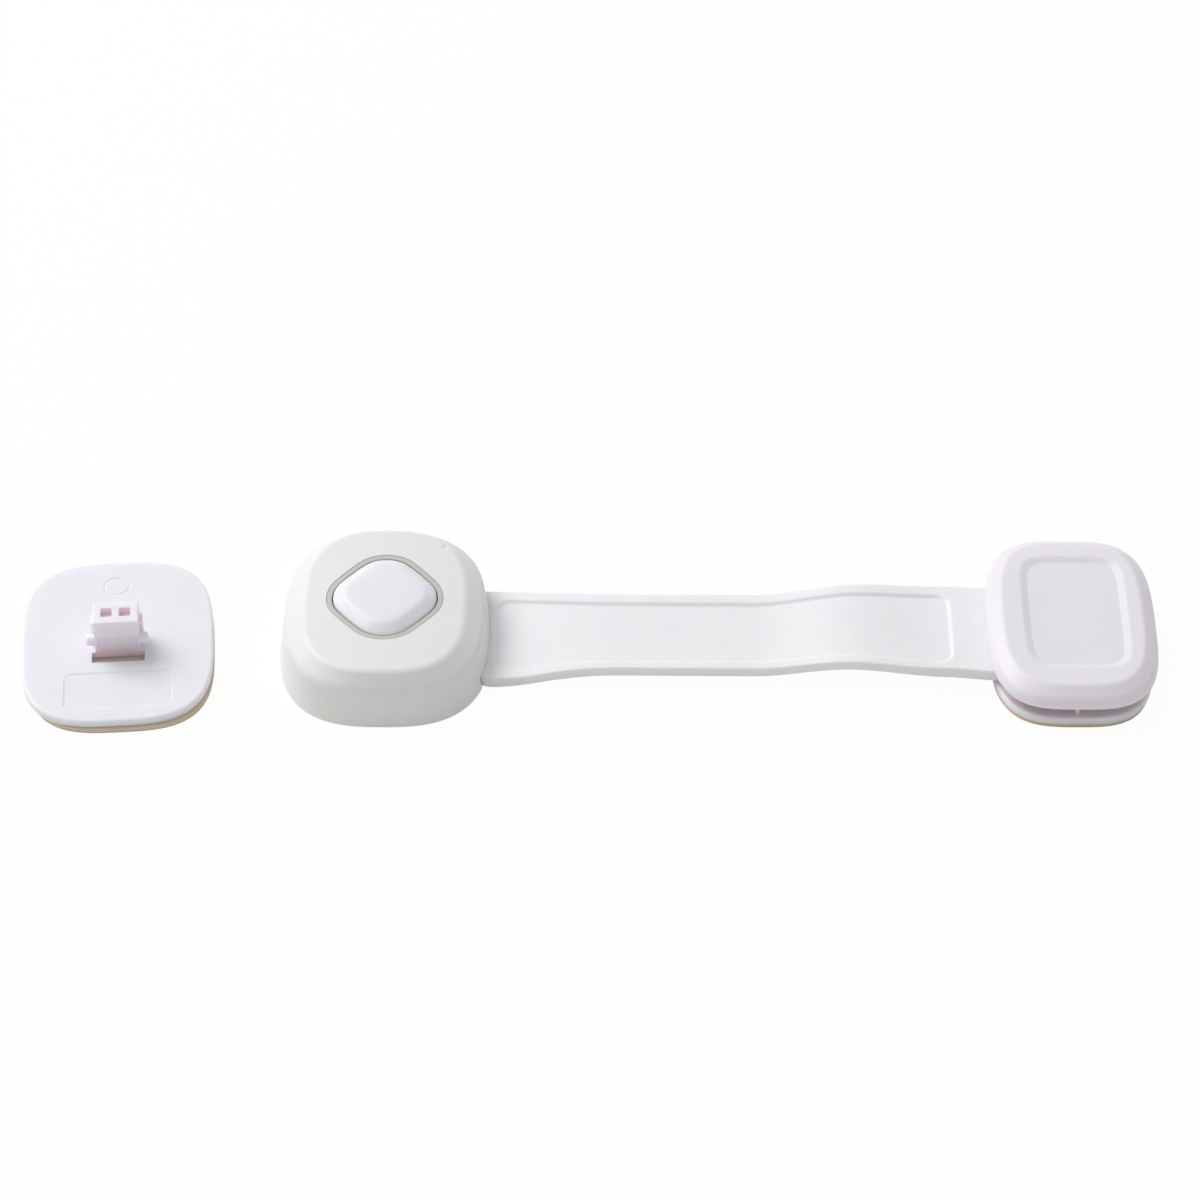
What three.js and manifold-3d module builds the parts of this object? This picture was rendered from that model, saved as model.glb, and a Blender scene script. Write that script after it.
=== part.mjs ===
// Strap lock for doors and lids: a lock head with a push button, a flexible strap that ends in a
// stick-on anchor, and a loose stick-on catch plate whose hook post the head locks on to.
// Millimetres, +Z up, +X along the strap from head to anchor, -Y to the front. It lies on Z = 0.
import * as THREE from "three";
import { mergeVertices } from "three/addons/utils/BufferGeometryUtils.js";
import Module from "manifold-3d";

const wasm = await Module();
wasm.setup();

// Clearances
const FIT = 0.3;
const RUN = 0.4;
const ENTRY = 0.6;

// Layout of the set as it lies on a table
const STRAP_REACH = 171;
const CATCH_DISTANCE = 67.55;
const CATCH_BACK = -2.77;
const CATCH_TURN = THREE.MathUtils.degToRad(4.5);
const ANCHOR_FORWARD = 1.1;

// Lock head
const HEAD_WIDTH = 52.8;
const HEAD_DEPTH = 60.4;
const HEAD_HEIGHT = 15;
const HEAD_SQUARENESS = 2.75;
const HEAD_WALL = 2;
const HEAD_ROOF = 2.6;
const SHOULDER_HEIGHT = 11;
const SHOULDER_INSET = 1.6;
const TOP_INSET_X = 6.3;
const TOP_INSET_Y = 4.8;
const HEAD_SOFTNESS = 1.3;
const HEAD_INNER_SOFTNESS = 1;
const COVER_THICKNESS = 2.2;

// Button and its bezel
const BUTTON_BACK = 1;
const DIAMOND_X = 5.4;
const DIAMOND_Y = 6.1;
const BUTTON_RADIUS = 7.5;
const BUTTON_RISE = 2;
const BUTTON_EDGE = 0.2;
const BUTTON_FACET_INSET = 2.5;
const BUTTON_WALL = 1.6;
const BUTTON_ROOF = 2.2;
const BUTTON_TRAVEL = 2;
const BUTTON_TAB_REACH = 2.3;
const BUTTON_TAB_WIDTH = 6;
const BUTTON_TAB_THICKNESS = 1.7;
const BEZEL_WIDTH = 1.3;
const BEZEL_DROP = 0.4;
const BEZEL_FLANGE = 1;
const BEZEL_DEPTH = 3.4;
const BEZEL_SLEEVE = 0.75;

// Hook post of the catch plate, measured from the top of that plate
const POST_WIDTH = 11.3;
const POST_DEPTH = 7.6;
const POST_HEIGHT = 11;
const POST_FRONT = -3.56;
const LIP_DEPTH = 0.8;
const LIP_HEIGHT = 6.07;
const PIN_RADIUS = 1.5;
const PIN_TIP_RADIUS = 1.05;
const PIN_REACH = 2;
const PIN_BACK = -1.8;
const PIN_HEIGHT = 3.8;
const POST_RIB = 0.8;
const POST_WINDOW_WIDTH = 2.7;
const POST_WINDOW_DEPTH = 2.9;
const POST_WINDOW_SPACING = 4.6;
const POST_WINDOW_SINK = 6;
const POST_SLOT_WIDTH = 13.1;
const POST_SLOT_DEPTH = 3.3;

// Latch slide and its springs
const LATCH_THICKNESS = 1.5;
const LATCH_BAR = 3.2;
const LATCH_FRONT_BAR = 3.7;
const LATCH_REAR_BAR = 3;
const LATCH_UPSTAND = 1;
const RAMP_RISE = 2.5;
const RAMP_SLOPE = 0.8;
const LEG_SPACING = 12;
const LEG_WIDTH = 2.4;
const LEG_DEPTH = 2.4;
const GUIDE_WALL = 0.9;
const SPRING_LENGTH = 8.3;
const SPRING_RADIUS = 1.9;
const SPRING_WIRE = 0.5;
const SPRING_CURLS = 7;
const SPRING_SPACING = 12;
const SPRING_PEG_RADIUS = 1.1;
const SPRING_PEG_LENGTH = 1.6;
const SPRING_SEAT = 1.2;

// Self-tapping screws
const SCREW_HEAD_RADIUS = 2;
const SCREW_HEAD_HEIGHT = 1;
const SCREW_RADIUS = 1;
const SCREW_LENGTH = 8;
const SCREW_SINK = 0.1;
const SCREW_RECESS_DEPTH = 0.6;
const SCREW_RECESS_REACH = 1.4;
const SCREW_RECESS_WIDTH = 0.6;
const BOSS_WALL = 1.45;
const SCREW_LEFT_X = -16;
const SCREW_LEFT_Y = 17;
const SCREW_RIGHT_X = 16;
const SCREW_RIGHT_Y = 9;

// Strap
const STRAP_THICKNESS = 3.3;
const STRAP_ROOT_WIDTH = 30.6;
const STRAP_WAIST_WIDTH = 26.4;
const STRAP_END_WIDTH = 30.2;
const STRAP_ROOT_Z = 0.35;
const STRAP_DIP_Z = 1.7;
const STRAP_CREST_Z = 4.9;
const STRAP_WAIST_START = 57;
const STRAP_WAIST_END = 92;
const STRAP_CREST = 117;
const STRAP_RIM = 3.2;
const STRAP_PANEL_SINK = 0.8;
const STRAP_PANEL_CORNER = 4;
const STRAP_PANEL_START = 0.7;
const STRAP_PANEL_END = 29.6;
const STRAP_FLEX_LENGTH = 40;
const TONGUE_LENGTH = 13;
const TONGUE_RABBET = 6.4;

// Anchor
const ANCHOR_WIDTH = 40.6;
const ANCHOR_DEPTH = 55.4;
const ANCHOR_SQUARENESS = 3.2;
const ANCHOR_PLATE = 2;
const ANCHOR_BOSS_RADIUS = 8;
const SWIVEL = THREE.MathUtils.degToRad(40);
const STOP_RIB = 1;
const STOP_RIB_SETBACK = 1.7;
const CAP_WIDTH = 42.5;
const CAP_DEPTH = 58.5;
const CAP_SQUARENESS = 3.35;
const CAP_HEIGHT = 5.8;
const CAP_SKIRT = 3.6;
const CAP_TUCK = 0.7;
const CAP_RIM_INSET = 3.8;
const CAP_SOFTNESS = 1.2;
const CAP_WALL = 2;
const CAP_ROOF = 2.4;
const CAP_PANEL_WIDTH = 28.2;
const CAP_PANEL_DEPTH = 40.4;
const CAP_PANEL_SQUARENESS = 6;
const CAP_PANEL_SINK = 0.7;
const CAP_PANEL_BEVEL = 1.8;

// Catch plate
const CATCH_WIDTH = 47;
const CATCH_DEPTH = 56.9;
const CATCH_SQUARENESS = 3.2;
const CATCH_PLATE = 2.1;
const CATCH_EDGE = 0.7;
const LABEL_WIDTH = 27;
const LABEL_DEPTH = 12.5;
const LABEL_FRONT = -22;
const LABEL_SINK = 0.25;
const POST_ASIDE = 0.8;
const POST_FORWARD = 1.95;

// Adhesive pads and their liners
const PAD_THICKNESS = 0.95;
const LINER_THICKNESS = 0.25;
const PAD_INSET = 0.3;
const CATCH_PAD_ASIDE = 1.35;
const CATCH_PAD_FORWARD = 1.5;

// Facets
const RING_STEPS = 64;
const ARC_STEPS = 6;
const ROUND_STEPS = 24;
const PEG_STEPS = 12;
const STRAP_STEPS = 40;
const STRAP_EDGE_STEPS = 24;
const STRAP_FLOOR_STEPS = 30;
const STRAP_RIM_STEPS = 18;
const CURL_STEPS = 8;
const CURL_SIDES = 5;

const material = (color, roughness, metalness = 0) =>
  new THREE.MeshStandardMaterial({ color, roughness, metalness });

// A closed geometry as a solid for joining and cutting.
function solid(geometry) {
  const bare = geometry.clone();
  bare.deleteAttribute("normal");
  bare.deleteAttribute("uv");
  const merged = mergeVertices(bare, 1e-4);
  const index = Array.from(merged.index.array);
  const corners = [];
  for (let i = 0; i < index.length; i += 3) {
    const [a, b, c] = index.slice(i, i + 3);
    if (a !== b && b !== c && c !== a) corners.push(a, b, c);
  }
  const mesh = new wasm.Mesh({
    numProp: 3,
    vertProperties: merged.attributes.position.array,
    triVerts: new Uint32Array(corners),
  });
  return new wasm.Manifold(mesh);
}

// A finished solid as a named mesh.
function piece(name, body, finish) {
  const mesh = body.getMesh();
  const geometry = new THREE.BufferGeometry();
  const position = new THREE.BufferAttribute(new Float32Array(mesh.vertProperties), 3);
  geometry.setAttribute("position", position);
  geometry.setIndex(Array.from(mesh.triVerts));
  const flat = geometry.toNonIndexed();
  flat.computeVertexNormals();
  const part = new THREE.Mesh(flat, finish);
  part.name = name;
  return part;
}

function block(x0, x1, y0, y1, z0, z1) {
  const geometry = new THREE.BoxGeometry(x1 - x0, y1 - y0, z1 - z0);
  geometry.translate((x0 + x1) / 2, (y0 + y1) / 2, (z0 + z1) / 2);
  return solid(geometry);
}

function rod(radius, x, y, z0, z1) {
  const geometry = new THREE.CylinderGeometry(radius, radius, z1 - z0, ROUND_STEPS);
  geometry.rotateX(Math.PI / 2);
  geometry.translate(x, y, (z0 + z1) / 2);
  return solid(geometry);
}

function prism(points, z0, z1) {
  const shape = new THREE.Shape(points);
  const geometry = new THREE.ExtrudeGeometry(shape, { depth: z1 - z0, bevelEnabled: false });
  geometry.translate(0, 0, z0);
  return solid(geometry);
}

// A prism whose outline lies in the YZ plane and whose length runs along X.
function crossPrism(points, x0, x1) {
  const shape = new THREE.Shape(points);
  const geometry = new THREE.ExtrudeGeometry(shape, { depth: x1 - x0, bevelEnabled: false });
  geometry.rotateX(Math.PI / 2);
  geometry.rotateZ(Math.PI / 2);
  geometry.translate(x0, 0, 0);
  return solid(geometry);
}

// A prism whose outline lies in the XZ plane and whose length runs along Y, centred on Y = 0.
function sidePrism(points, length) {
  const shape = new THREE.Shape(points);
  const geometry = new THREE.ExtrudeGeometry(shape, { depth: length, bevelEnabled: false });
  geometry.rotateX(Math.PI / 2);
  geometry.translate(0, length / 2, 0);
  return solid(geometry);
}

// Rings stacked along Z: each level is { ring: function of the step, z }, or { z } alone on the axis.
function loft(levels, steps) {
  const profile = levels.map((level) => new THREE.Vector2(level.ring ? 1 : 0, level.z));
  const geometry = new THREE.LatheGeometry(profile, steps);
  geometry.rotateX(Math.PI / 2);
  const position = geometry.attributes.position;
  for (let i = 0; i <= steps; i += 1) {
    levels.forEach((level, j) => {
      const point = level.ring ? level.ring(i % steps) : new THREE.Vector2(0, 0);
      position.setXYZ(i * levels.length + j, point.x, point.y, level.z);
    });
  }
  const body = solid(geometry);
  return body.volume() > 0 ? body : loft([...levels].reverse(), steps);
}

// One ring of a squarish oval with the given half sizes.
function oval(halfX, halfY, squareness) {
  return (step) => {
    const angle = (2 * Math.PI * step) / RING_STEPS;
    const c = Math.cos(angle);
    const s = Math.sin(angle);
    const sum = Math.abs(c / halfX) ** squareness + Math.abs(s / halfY) ** squareness;
    const reach = sum ** (-1 / squareness);
    return new THREE.Vector2(reach * c, reach * s);
  };
}

// One ring of the rounded diamond: four corner arcs of one radius.
function diamond(cornerX, cornerY, radius) {
  const centres = [
    new THREE.Vector2(cornerX, 0),
    new THREE.Vector2(0, cornerY),
    new THREE.Vector2(-cornerX, 0),
    new THREE.Vector2(0, -cornerY),
  ];
  const side = Math.atan2(cornerX, cornerY);
  const spans = [side, Math.PI / 2 - side, side, Math.PI / 2 - side];
  const perCorner = ARC_STEPS + 1;
  return (step) => {
    const corner = Math.floor(step / perCorner);
    const share = (step % perCorner) / ARC_STEPS;
    const angle = (corner * Math.PI) / 2 + spans[corner] * (2 * share - 1);
    const arm = new THREE.Vector2(Math.cos(angle), Math.sin(angle)).multiplyScalar(radius);
    return arm.add(centres[corner]);
  };
}
const DIAMOND_STEPS = 4 * (ARC_STEPS + 1);

// Section corners (half width, half depth, height) with each inner corner softened to a short curve.
function soften(corners, softness) {
  const section = [corners[0]];
  for (let i = 1; i < corners.length - 1; i += 1) {
    const [before, corner, after] = [corners[i - 1], corners[i], corners[i + 1]];
    const reachBack = Math.min(softness, corner.distanceTo(before) / 2);
    const reachOn = Math.min(softness, corner.distanceTo(after) / 2);
    const start = corner.clone().add(before.clone().sub(corner).setLength(reachBack));
    const end = corner.clone().add(after.clone().sub(corner).setLength(reachOn));
    const middle = start.clone().add(end).multiplyScalar(0.25).addScaledVector(corner, 0.5);
    section.push(start, middle, end);
  }
  section.push(corners[corners.length - 1]);
  return section;
}
const ovalLevels = (section, squareness) =>
  section.map((p) => ({ ring: oval(p.x, p.y, squareness), z: p.z }));
const corner = (x, y, z) => new THREE.Vector3(x, y, z);
const smooth = (from, to, x) => THREE.MathUtils.smoothstep(x, from, to);
const span = (a, b) => [Math.min(a, b), Math.max(a, b)];

// Screw standing head down on a seat, with a cross recess in its head.
function screw(x, y, z) {
  const recess = SCREW_RECESS_DEPTH;
  const arm = SCREW_RECESS_REACH;
  const slot = SCREW_RECESS_WIDTH / 2;
  const top = z + SCREW_HEAD_HEIGHT + SCREW_LENGTH;
  return rod(SCREW_HEAD_RADIUS, x, y, z, z + SCREW_HEAD_HEIGHT)
    .add(rod(SCREW_RADIUS, x, y, z + recess, top))
    .subtract(block(x - arm, x + arm, y - slot, y + slot, z - recess, z + recess))
    .subtract(block(x - slot, x + slot, y - arm, y + arm, z - recess, z + recess));
}
const screwBore = SCREW_RADIUS + FIT;
const screwPocket = SCREW_HEAD_RADIUS + FIT;
const screwSeat = SCREW_SINK + SCREW_HEAD_HEIGHT + FIT;
const screwTop = SCREW_SINK + SCREW_HEAD_HEIGHT + SCREW_LENGTH;
const bossRadius = screwBore + BOSS_WALL;

// Heights in the lock head, from its underside
const lidTop = COVER_THICKNESS;
const strapRootTop = STRAP_ROOT_Z + STRAP_THICKNESS;
const roofInside = HEAD_HEIGHT - HEAD_ROOF;
const bezelTop = HEAD_HEIGHT - BEZEL_DROP;
const bezelSeat = bezelTop - BEZEL_FLANGE;
const bezelBottom = bezelTop - BEZEL_DEPTH;
const tabTop = bezelBottom - FIT;
const skirtBottom = tabTop - BUTTON_TAB_THICKNESS;
const buttonEdge = bezelTop + BUTTON_EDGE;
const buttonTop = buttonEdge + BUTTON_RISE;
const latchTop = LIP_HEIGHT - RUN;
const latchBottom = latchTop - LATCH_THICKNESS;
const railTop = latchBottom - FIT;
const rampTop = latchTop + RAMP_RISE;

// Places across the lock head
const headX = HEAD_WIDTH / 2;
const headY = HEAD_DEPTH / 2;
const postX = POST_WIDTH / 2;
const postBack = POST_FRONT + POST_DEPTH;
const postNeck = POST_FRONT + LIP_DEPTH;
const pinX = postX + PIN_REACH;
const latchTravel = BUTTON_TRAVEL * RAMP_SLOPE;
const windowX = pinX + RUN;
const windowFront = PIN_BACK - PIN_RADIUS - RUN;
const windowBack = postBack + latchTravel + 2 * RUN;
const latchX = windowX + LATCH_BAR;
const latchFront = windowFront - LATCH_FRONT_BAR;
const latchBack = windowBack + LATCH_REAR_BAR;
const springBack = latchFront - FIT;
const springFront = springBack - SPRING_LENGTH;
const seatBack = springFront - FIT;
const springZ = (latchTop + latchBottom) / 2;
const seatX = SPRING_SPACING / 2 + SPRING_RADIUS + SPRING_WIRE;
const rampFoot = (z) => latchBack - RAMP_SLOPE * (z - latchTop);
const rampGap = FIT * Math.hypot(1, RAMP_SLOPE);
const rabbetX = headX - TONGUE_RABBET;
const tongueX = headX - TONGUE_LENGTH;
const rootHalf = STRAP_ROOT_WIDTH / 2;
const headScrews = [
  [SCREW_LEFT_X, SCREW_LEFT_Y],
  [SCREW_LEFT_X, -SCREW_LEFT_Y],
  [SCREW_RIGHT_X, SCREW_RIGHT_Y],
  [SCREW_RIGHT_X, -SCREW_RIGHT_Y],
];
const throughTongue = (x) => x > 0;

const draft = (z) => (SHOULDER_INSET * z) / SHOULDER_HEIGHT;
const innerCorner = (z, gap) =>
  corner(headX - HEAD_WALL - gap - draft(z), headY - HEAD_WALL - gap - draft(z), z);

function headShell() {
  const outside = soften(
    [
      corner(headX, headY, 0),
      corner(headX - SHOULDER_INSET, headY - SHOULDER_INSET, SHOULDER_HEIGHT),
      corner(headX - TOP_INSET_X, headY - TOP_INSET_Y, HEAD_HEIGHT),
      corner(headX - 2 * TOP_INSET_X, headY - 2 * TOP_INSET_Y, HEAD_HEIGHT),
    ],
    HEAD_SOFTNESS,
  );
  const inside = soften(
    [
      innerCorner(0, 0),
      innerCorner(SHOULDER_HEIGHT - HEAD_ROOF, 0),
      corner(headX - TOP_INSET_X, headY - TOP_INSET_Y, roofInside),
    ],
    HEAD_INNER_SOFTNESS,
  );
  const levels = [
    { z: roofInside },
    ...ovalLevels(inside.reverse(), HEAD_SQUARENESS),
    ...ovalLevels(outside, HEAD_SQUARENESS),
    { z: HEAD_HEIGHT },
  ];
  let shell = loft(levels, RING_STEPS);
  for (const [x, y] of headScrews) {
    const foot = throughTongue(x) ? strapRootTop + FIT : lidTop + FIT;
    shell = shell.add(rod(bossRadius, x, y, foot, roofInside + HEAD_ROOF / 2));
    shell = shell.subtract(rod(screwBore, x, y, foot - 1, screwTop + ENTRY));
  }
  const keeperX = latchX - GUIDE_WALL;
  const keeperInner = keeperX - GUIDE_WALL;
  const keeperReach = (DIAMOND_X + DIAMOND_Y) / 2 + Math.SQRT2 * (BUTTON_RADIUS + RUN) - keeperInner;
  for (const side of [-1, 1]) {
    const [x0, x1] = span(side * keeperInner, side * keeperX);
    for (const end of [-1, 1]) {
      const near = BUTTON_BACK + end * keeperReach;
      const [y0, y1] = span(near, near + end * LATCH_REAR_BAR);
      shell = shell.add(block(x0, x1, y0, y1, latchTop + RUN, roofInside + HEAD_ROOF / 2));
    }
  }
  const opening = BUTTON_RADIUS + FIT + BEZEL_SLEEVE + FIT;
  const recess = BUTTON_RADIUS + FIT + BEZEL_WIDTH + FIT;
  shell = shell
    .subtract(diamondPrism(opening, lidTop, HEAD_HEIGHT + 1))
    .subtract(diamondPrism(recess, bezelSeat - FIT, HEAD_HEIGHT + 1));
  const mouth = rootHalf + FIT;
  return shell.subtract(block(rabbetX, headX + 1, -mouth, mouth, -1, strapRootTop + FIT));
}

function diamondPrism(radius, z0, z1) {
  const ring = diamond(DIAMOND_X, DIAMOND_Y, radius);
  const points = Array.from({ length: DIAMOND_STEPS }, (_, i) => ring(i));
  return prism(points, z0, z1).translate([0, BUTTON_BACK, 0]);
}

function buttonBezel() {
  const inner = BUTTON_RADIUS + FIT;
  return diamondPrism(inner + BEZEL_WIDTH, bezelSeat, bezelTop)
    .add(diamondPrism(inner + BEZEL_SLEEVE, bezelBottom, bezelSeat + BEZEL_FLANGE / 2))
    .subtract(diamondPrism(inner, bezelBottom - 1, bezelTop + 1));
}

// The diamond button: a hollow cap with two stop tabs under the bezel and two ramped legs.
function button() {
  const facet = BUTTON_RADIUS - BUTTON_FACET_INSET;
  const round = BUTTON_FACET_INSET / 4;
  const ring = (radius, z) => ({ ring: diamond(DIAMOND_X, DIAMOND_Y, radius), z });
  const cap = loft(
    [
      { z: skirtBottom },
      ring(BUTTON_RADIUS, skirtBottom),
      ring(BUTTON_RADIUS, buttonEdge),
      ring(BUTTON_RADIUS - round, buttonEdge + BUTTON_RISE / 2),
      ring(facet + round, buttonTop - BUTTON_RISE / 8),
      ring(facet, buttonTop),
      { z: buttonTop },
    ],
    DIAMOND_STEPS,
  ).translate([0, BUTTON_BACK, 0]);
  let body = cap;
  const tip = DIAMOND_X + BUTTON_RADIUS;
  for (const side of [-1, 1]) {
    const [t0, t1] = span(side * (tip - BUTTON_WALL), side * (tip + BUTTON_TAB_REACH));
    const half = BUTTON_TAB_WIDTH / 2;
    body = body.add(block(t0, t1, BUTTON_BACK - half, BUTTON_BACK + half, skirtBottom, tabTop));
  }
  const hollow = BUTTON_RADIUS - BUTTON_WALL;
  body = body.subtract(diamondPrism(hollow, skirtBottom - 1, buttonTop - BUTTON_ROOF));
  const tipZ = latchTop + RUN;
  const tipFront = rampFoot(tipZ) + rampGap;
  const legFront = rampFoot(rampTop) + rampGap;
  const leg = [
    new THREE.Vector2(tipFront, tipZ),
    new THREE.Vector2(tipFront + LEG_DEPTH, tipZ),
    new THREE.Vector2(tipFront + LEG_DEPTH, tabTop),
    new THREE.Vector2(legFront, tabTop),
    new THREE.Vector2(legFront, rampTop),
  ];
  for (const side of [-1, 1]) {
    const x = (side * LEG_SPACING) / 2;
    body = body.add(crossPrism(leg, x - LEG_WIDTH / 2, x + LEG_WIDTH / 2));
  }
  return body;
}

// Sliding frame: its front tongue hooks under the post's lip, its rear bar carries two ramps.
function latchSlide() {
  const boltX = postX - RUN;
  let frame = block(-latchX, latchX, latchFront, latchBack, latchBottom, latchTop)
    .subtract(block(-windowX, windowX, windowFront, windowBack, latchBottom - 1, latchTop + 1))
    .add(block(-boltX, boltX, windowFront - RUN, postNeck - FIT, latchBottom, latchTop));
  const upstand = latchFront + SPRING_SEAT;
  frame = frame.add(block(-seatX, seatX, latchFront, upstand, latchBottom, latchTop + LATCH_UPSTAND));
  const ramp = [
    new THREE.Vector2(windowBack, latchBottom),
    new THREE.Vector2(latchBack, latchBottom),
    new THREE.Vector2(latchBack, latchTop),
    new THREE.Vector2(rampFoot(rampTop), rampTop),
    new THREE.Vector2(windowBack, rampTop),
  ];
  for (const side of [-1, 1]) {
    const x = (side * LEG_SPACING) / 2;
    frame = frame.add(crossPrism(ramp, x - LEG_WIDTH / 2, x + LEG_WIDTH / 2));
    frame = frame.add(springPeg(side, latchFront - SPRING_PEG_LENGTH, latchFront + SPRING_SEAT / 2));
  }
  return frame;
}

function springPeg(side, y0, y1) {
  const radius = SPRING_PEG_RADIUS;
  const geometry = new THREE.CylinderGeometry(radius, radius, y1 - y0, PEG_STEPS);
  geometry.translate((side * SPRING_SPACING) / 2, (y0 + y1) / 2, springZ);
  return solid(geometry);
}

// Cover plate under the head, with the post's way in, the slide's rails and the springs' seat.
function headBase() {
  const rim = [innerCorner(0, FIT), innerCorner(lidTop, FIT)];
  let cover = loft([{ z: 0 }, ...ovalLevels(rim, HEAD_SQUARENESS), { z: lidTop }], RING_STEPS);
  const guide0 = latchX + RUN;
  const runFront = latchFront - latchTravel;
  for (const side of [-1, 1]) {
    const [r0, r1] = span(side * (latchX - LATCH_BAR / 2), side * latchX);
    const [g0, g1] = span(side * guide0, side * (guide0 + GUIDE_WALL));
    cover = cover.add(block(r0, r1, runFront, latchBack, lidTop / 2, railTop));
    cover = cover.add(block(g0, g1, runFront, latchBack, lidTop / 2, latchTop + LATCH_UPSTAND));
  }
  const seatTop = springZ + SPRING_RADIUS + SPRING_WIRE;
  cover = cover.add(block(-seatX, seatX, seatBack - SPRING_SEAT, seatBack, lidTop / 2, seatTop));
  for (const side of [-1, 1]) {
    cover = cover.add(springPeg(side, seatBack - SPRING_SEAT / 2, seatBack + SPRING_PEG_LENGTH));
  }
  const postHalf = postX + ENTRY;
  const pinHalf = pinX + ENTRY;
  const pinGap = PIN_RADIUS + ENTRY;
  const under = -1;
  cover = cover
    .subtract(block(-postHalf, postHalf, POST_FRONT - ENTRY, postBack + ENTRY, under, lidTop + 1))
    .subtract(block(-pinHalf, pinHalf, PIN_BACK - pinGap, PIN_BACK + pinGap, under, lidTop + 1))
    .subtract(block(rabbetX - FIT, headX, -rootHalf - FIT, rootHalf + FIT, under, lidTop + 1));
  for (const [x, y] of headScrews) {
    cover = cover
      .subtract(rod(screwBore, x, y, under, lidTop + 1))
      .subtract(rod(screwPocket, x, y, under, screwSeat));
  }
  return cover;
}

// Spring wire wound along Y from the seat on the cover to the slide.
class SpringPath extends THREE.Curve {
  constructor(side) {
    super();
    this.side = side;
  }

  getPoint(t, target = new THREE.Vector3()) {
    const angle = 2 * Math.PI * SPRING_CURLS * t;
    const inset = SPRING_WIRE / 2;
    return target.set(
      (this.side * SPRING_SPACING) / 2 + SPRING_RADIUS * Math.cos(angle),
      springFront + inset + (SPRING_LENGTH - 2 * inset) * t,
      springZ + SPRING_RADIUS * Math.sin(angle),
    );
  }
}

function latchSpring(side) {
  const path = new SpringPath(side);
  const section = new THREE.Shape();
  for (let i = 0; i < CURL_SIDES; i += 1) {
    const angle = (2 * Math.PI * i) / CURL_SIDES;
    const [x, y] = [Math.cos(angle), Math.sin(angle)].map((v) => (v * SPRING_WIRE) / 2);
    if (i === 0) section.moveTo(x, y);
    else section.lineTo(x, y);
  }
  const steps = SPRING_CURLS * CURL_STEPS;
  const points = Array.from({ length: steps + 1 }, (_, i) => path.getPoint(i / steps));
  let least = Infinity;
  points.forEach((p, i) => {
    points.slice(i + CURL_STEPS / 2).forEach((q) => {
      least = Math.min(least, p.distanceTo(q) - SPRING_WIRE);
    });
  });
  console.log(`least gap between the curls of a spring: ${least.toFixed(2)} mm`);
  const geometry = new THREE.ExtrudeGeometry(section, { steps, extrudePath: path, bevelEnabled: false });
  return solid(geometry);
}

// Strap, in head coordinates: x runs from the head's centre to the anchor's centre.
const strapEndZ = LINER_THICKNESS + PAD_THICKNESS + ANCHOR_PLATE + FIT;
const capEdge = strapEndZ + STRAP_THICKNESS + RUN;
const capReach = Math.hypot(CAP_WIDTH, CAP_DEPTH) / 2;
const strapFlat = STRAP_REACH - capReach + CAP_RIM_INSET;
const strapMiddle = (headX + STRAP_REACH - CAP_WIDTH / 2) / 2;
function strapBottom(x) {
  const rise = (STRAP_DIP_Z - STRAP_ROOT_Z) * smooth(headX, STRAP_WAIST_START, x);
  const swell = (STRAP_CREST_Z - STRAP_DIP_Z) * smooth(STRAP_WAIST_END - FIT, STRAP_CREST, x);
  const fall = (strapEndZ - STRAP_CREST_Z) * smooth(STRAP_CREST, strapFlat, x);
  return STRAP_ROOT_Z + rise + swell + fall;
}
function strapHalf(x) {
  const waist = (STRAP_WAIST_WIDTH - STRAP_ROOT_WIDTH) * smooth(headX - FIT, STRAP_WAIST_START, x);
  const widest = STRAP_REACH - capReach / 2;
  const flare = (STRAP_END_WIDTH - STRAP_WAIST_WIDTH) * smooth(STRAP_WAIST_END, widest, x);
  return rootHalf + (waist + flare) / 2;
}
// The strap's end leans to the front by as much as the anchor lies in front of the head's middle.
function strapSway(x) {
  return -ANCHOR_FORWARD * smooth(strapFlat, STRAP_REACH - STRAP_END_WIDTH / 2, x);
}
const stations = (from, to, count) =>
  Array.from({ length: count + 1 }, (_, i) => from + ((to - from) * i) / count);

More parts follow.
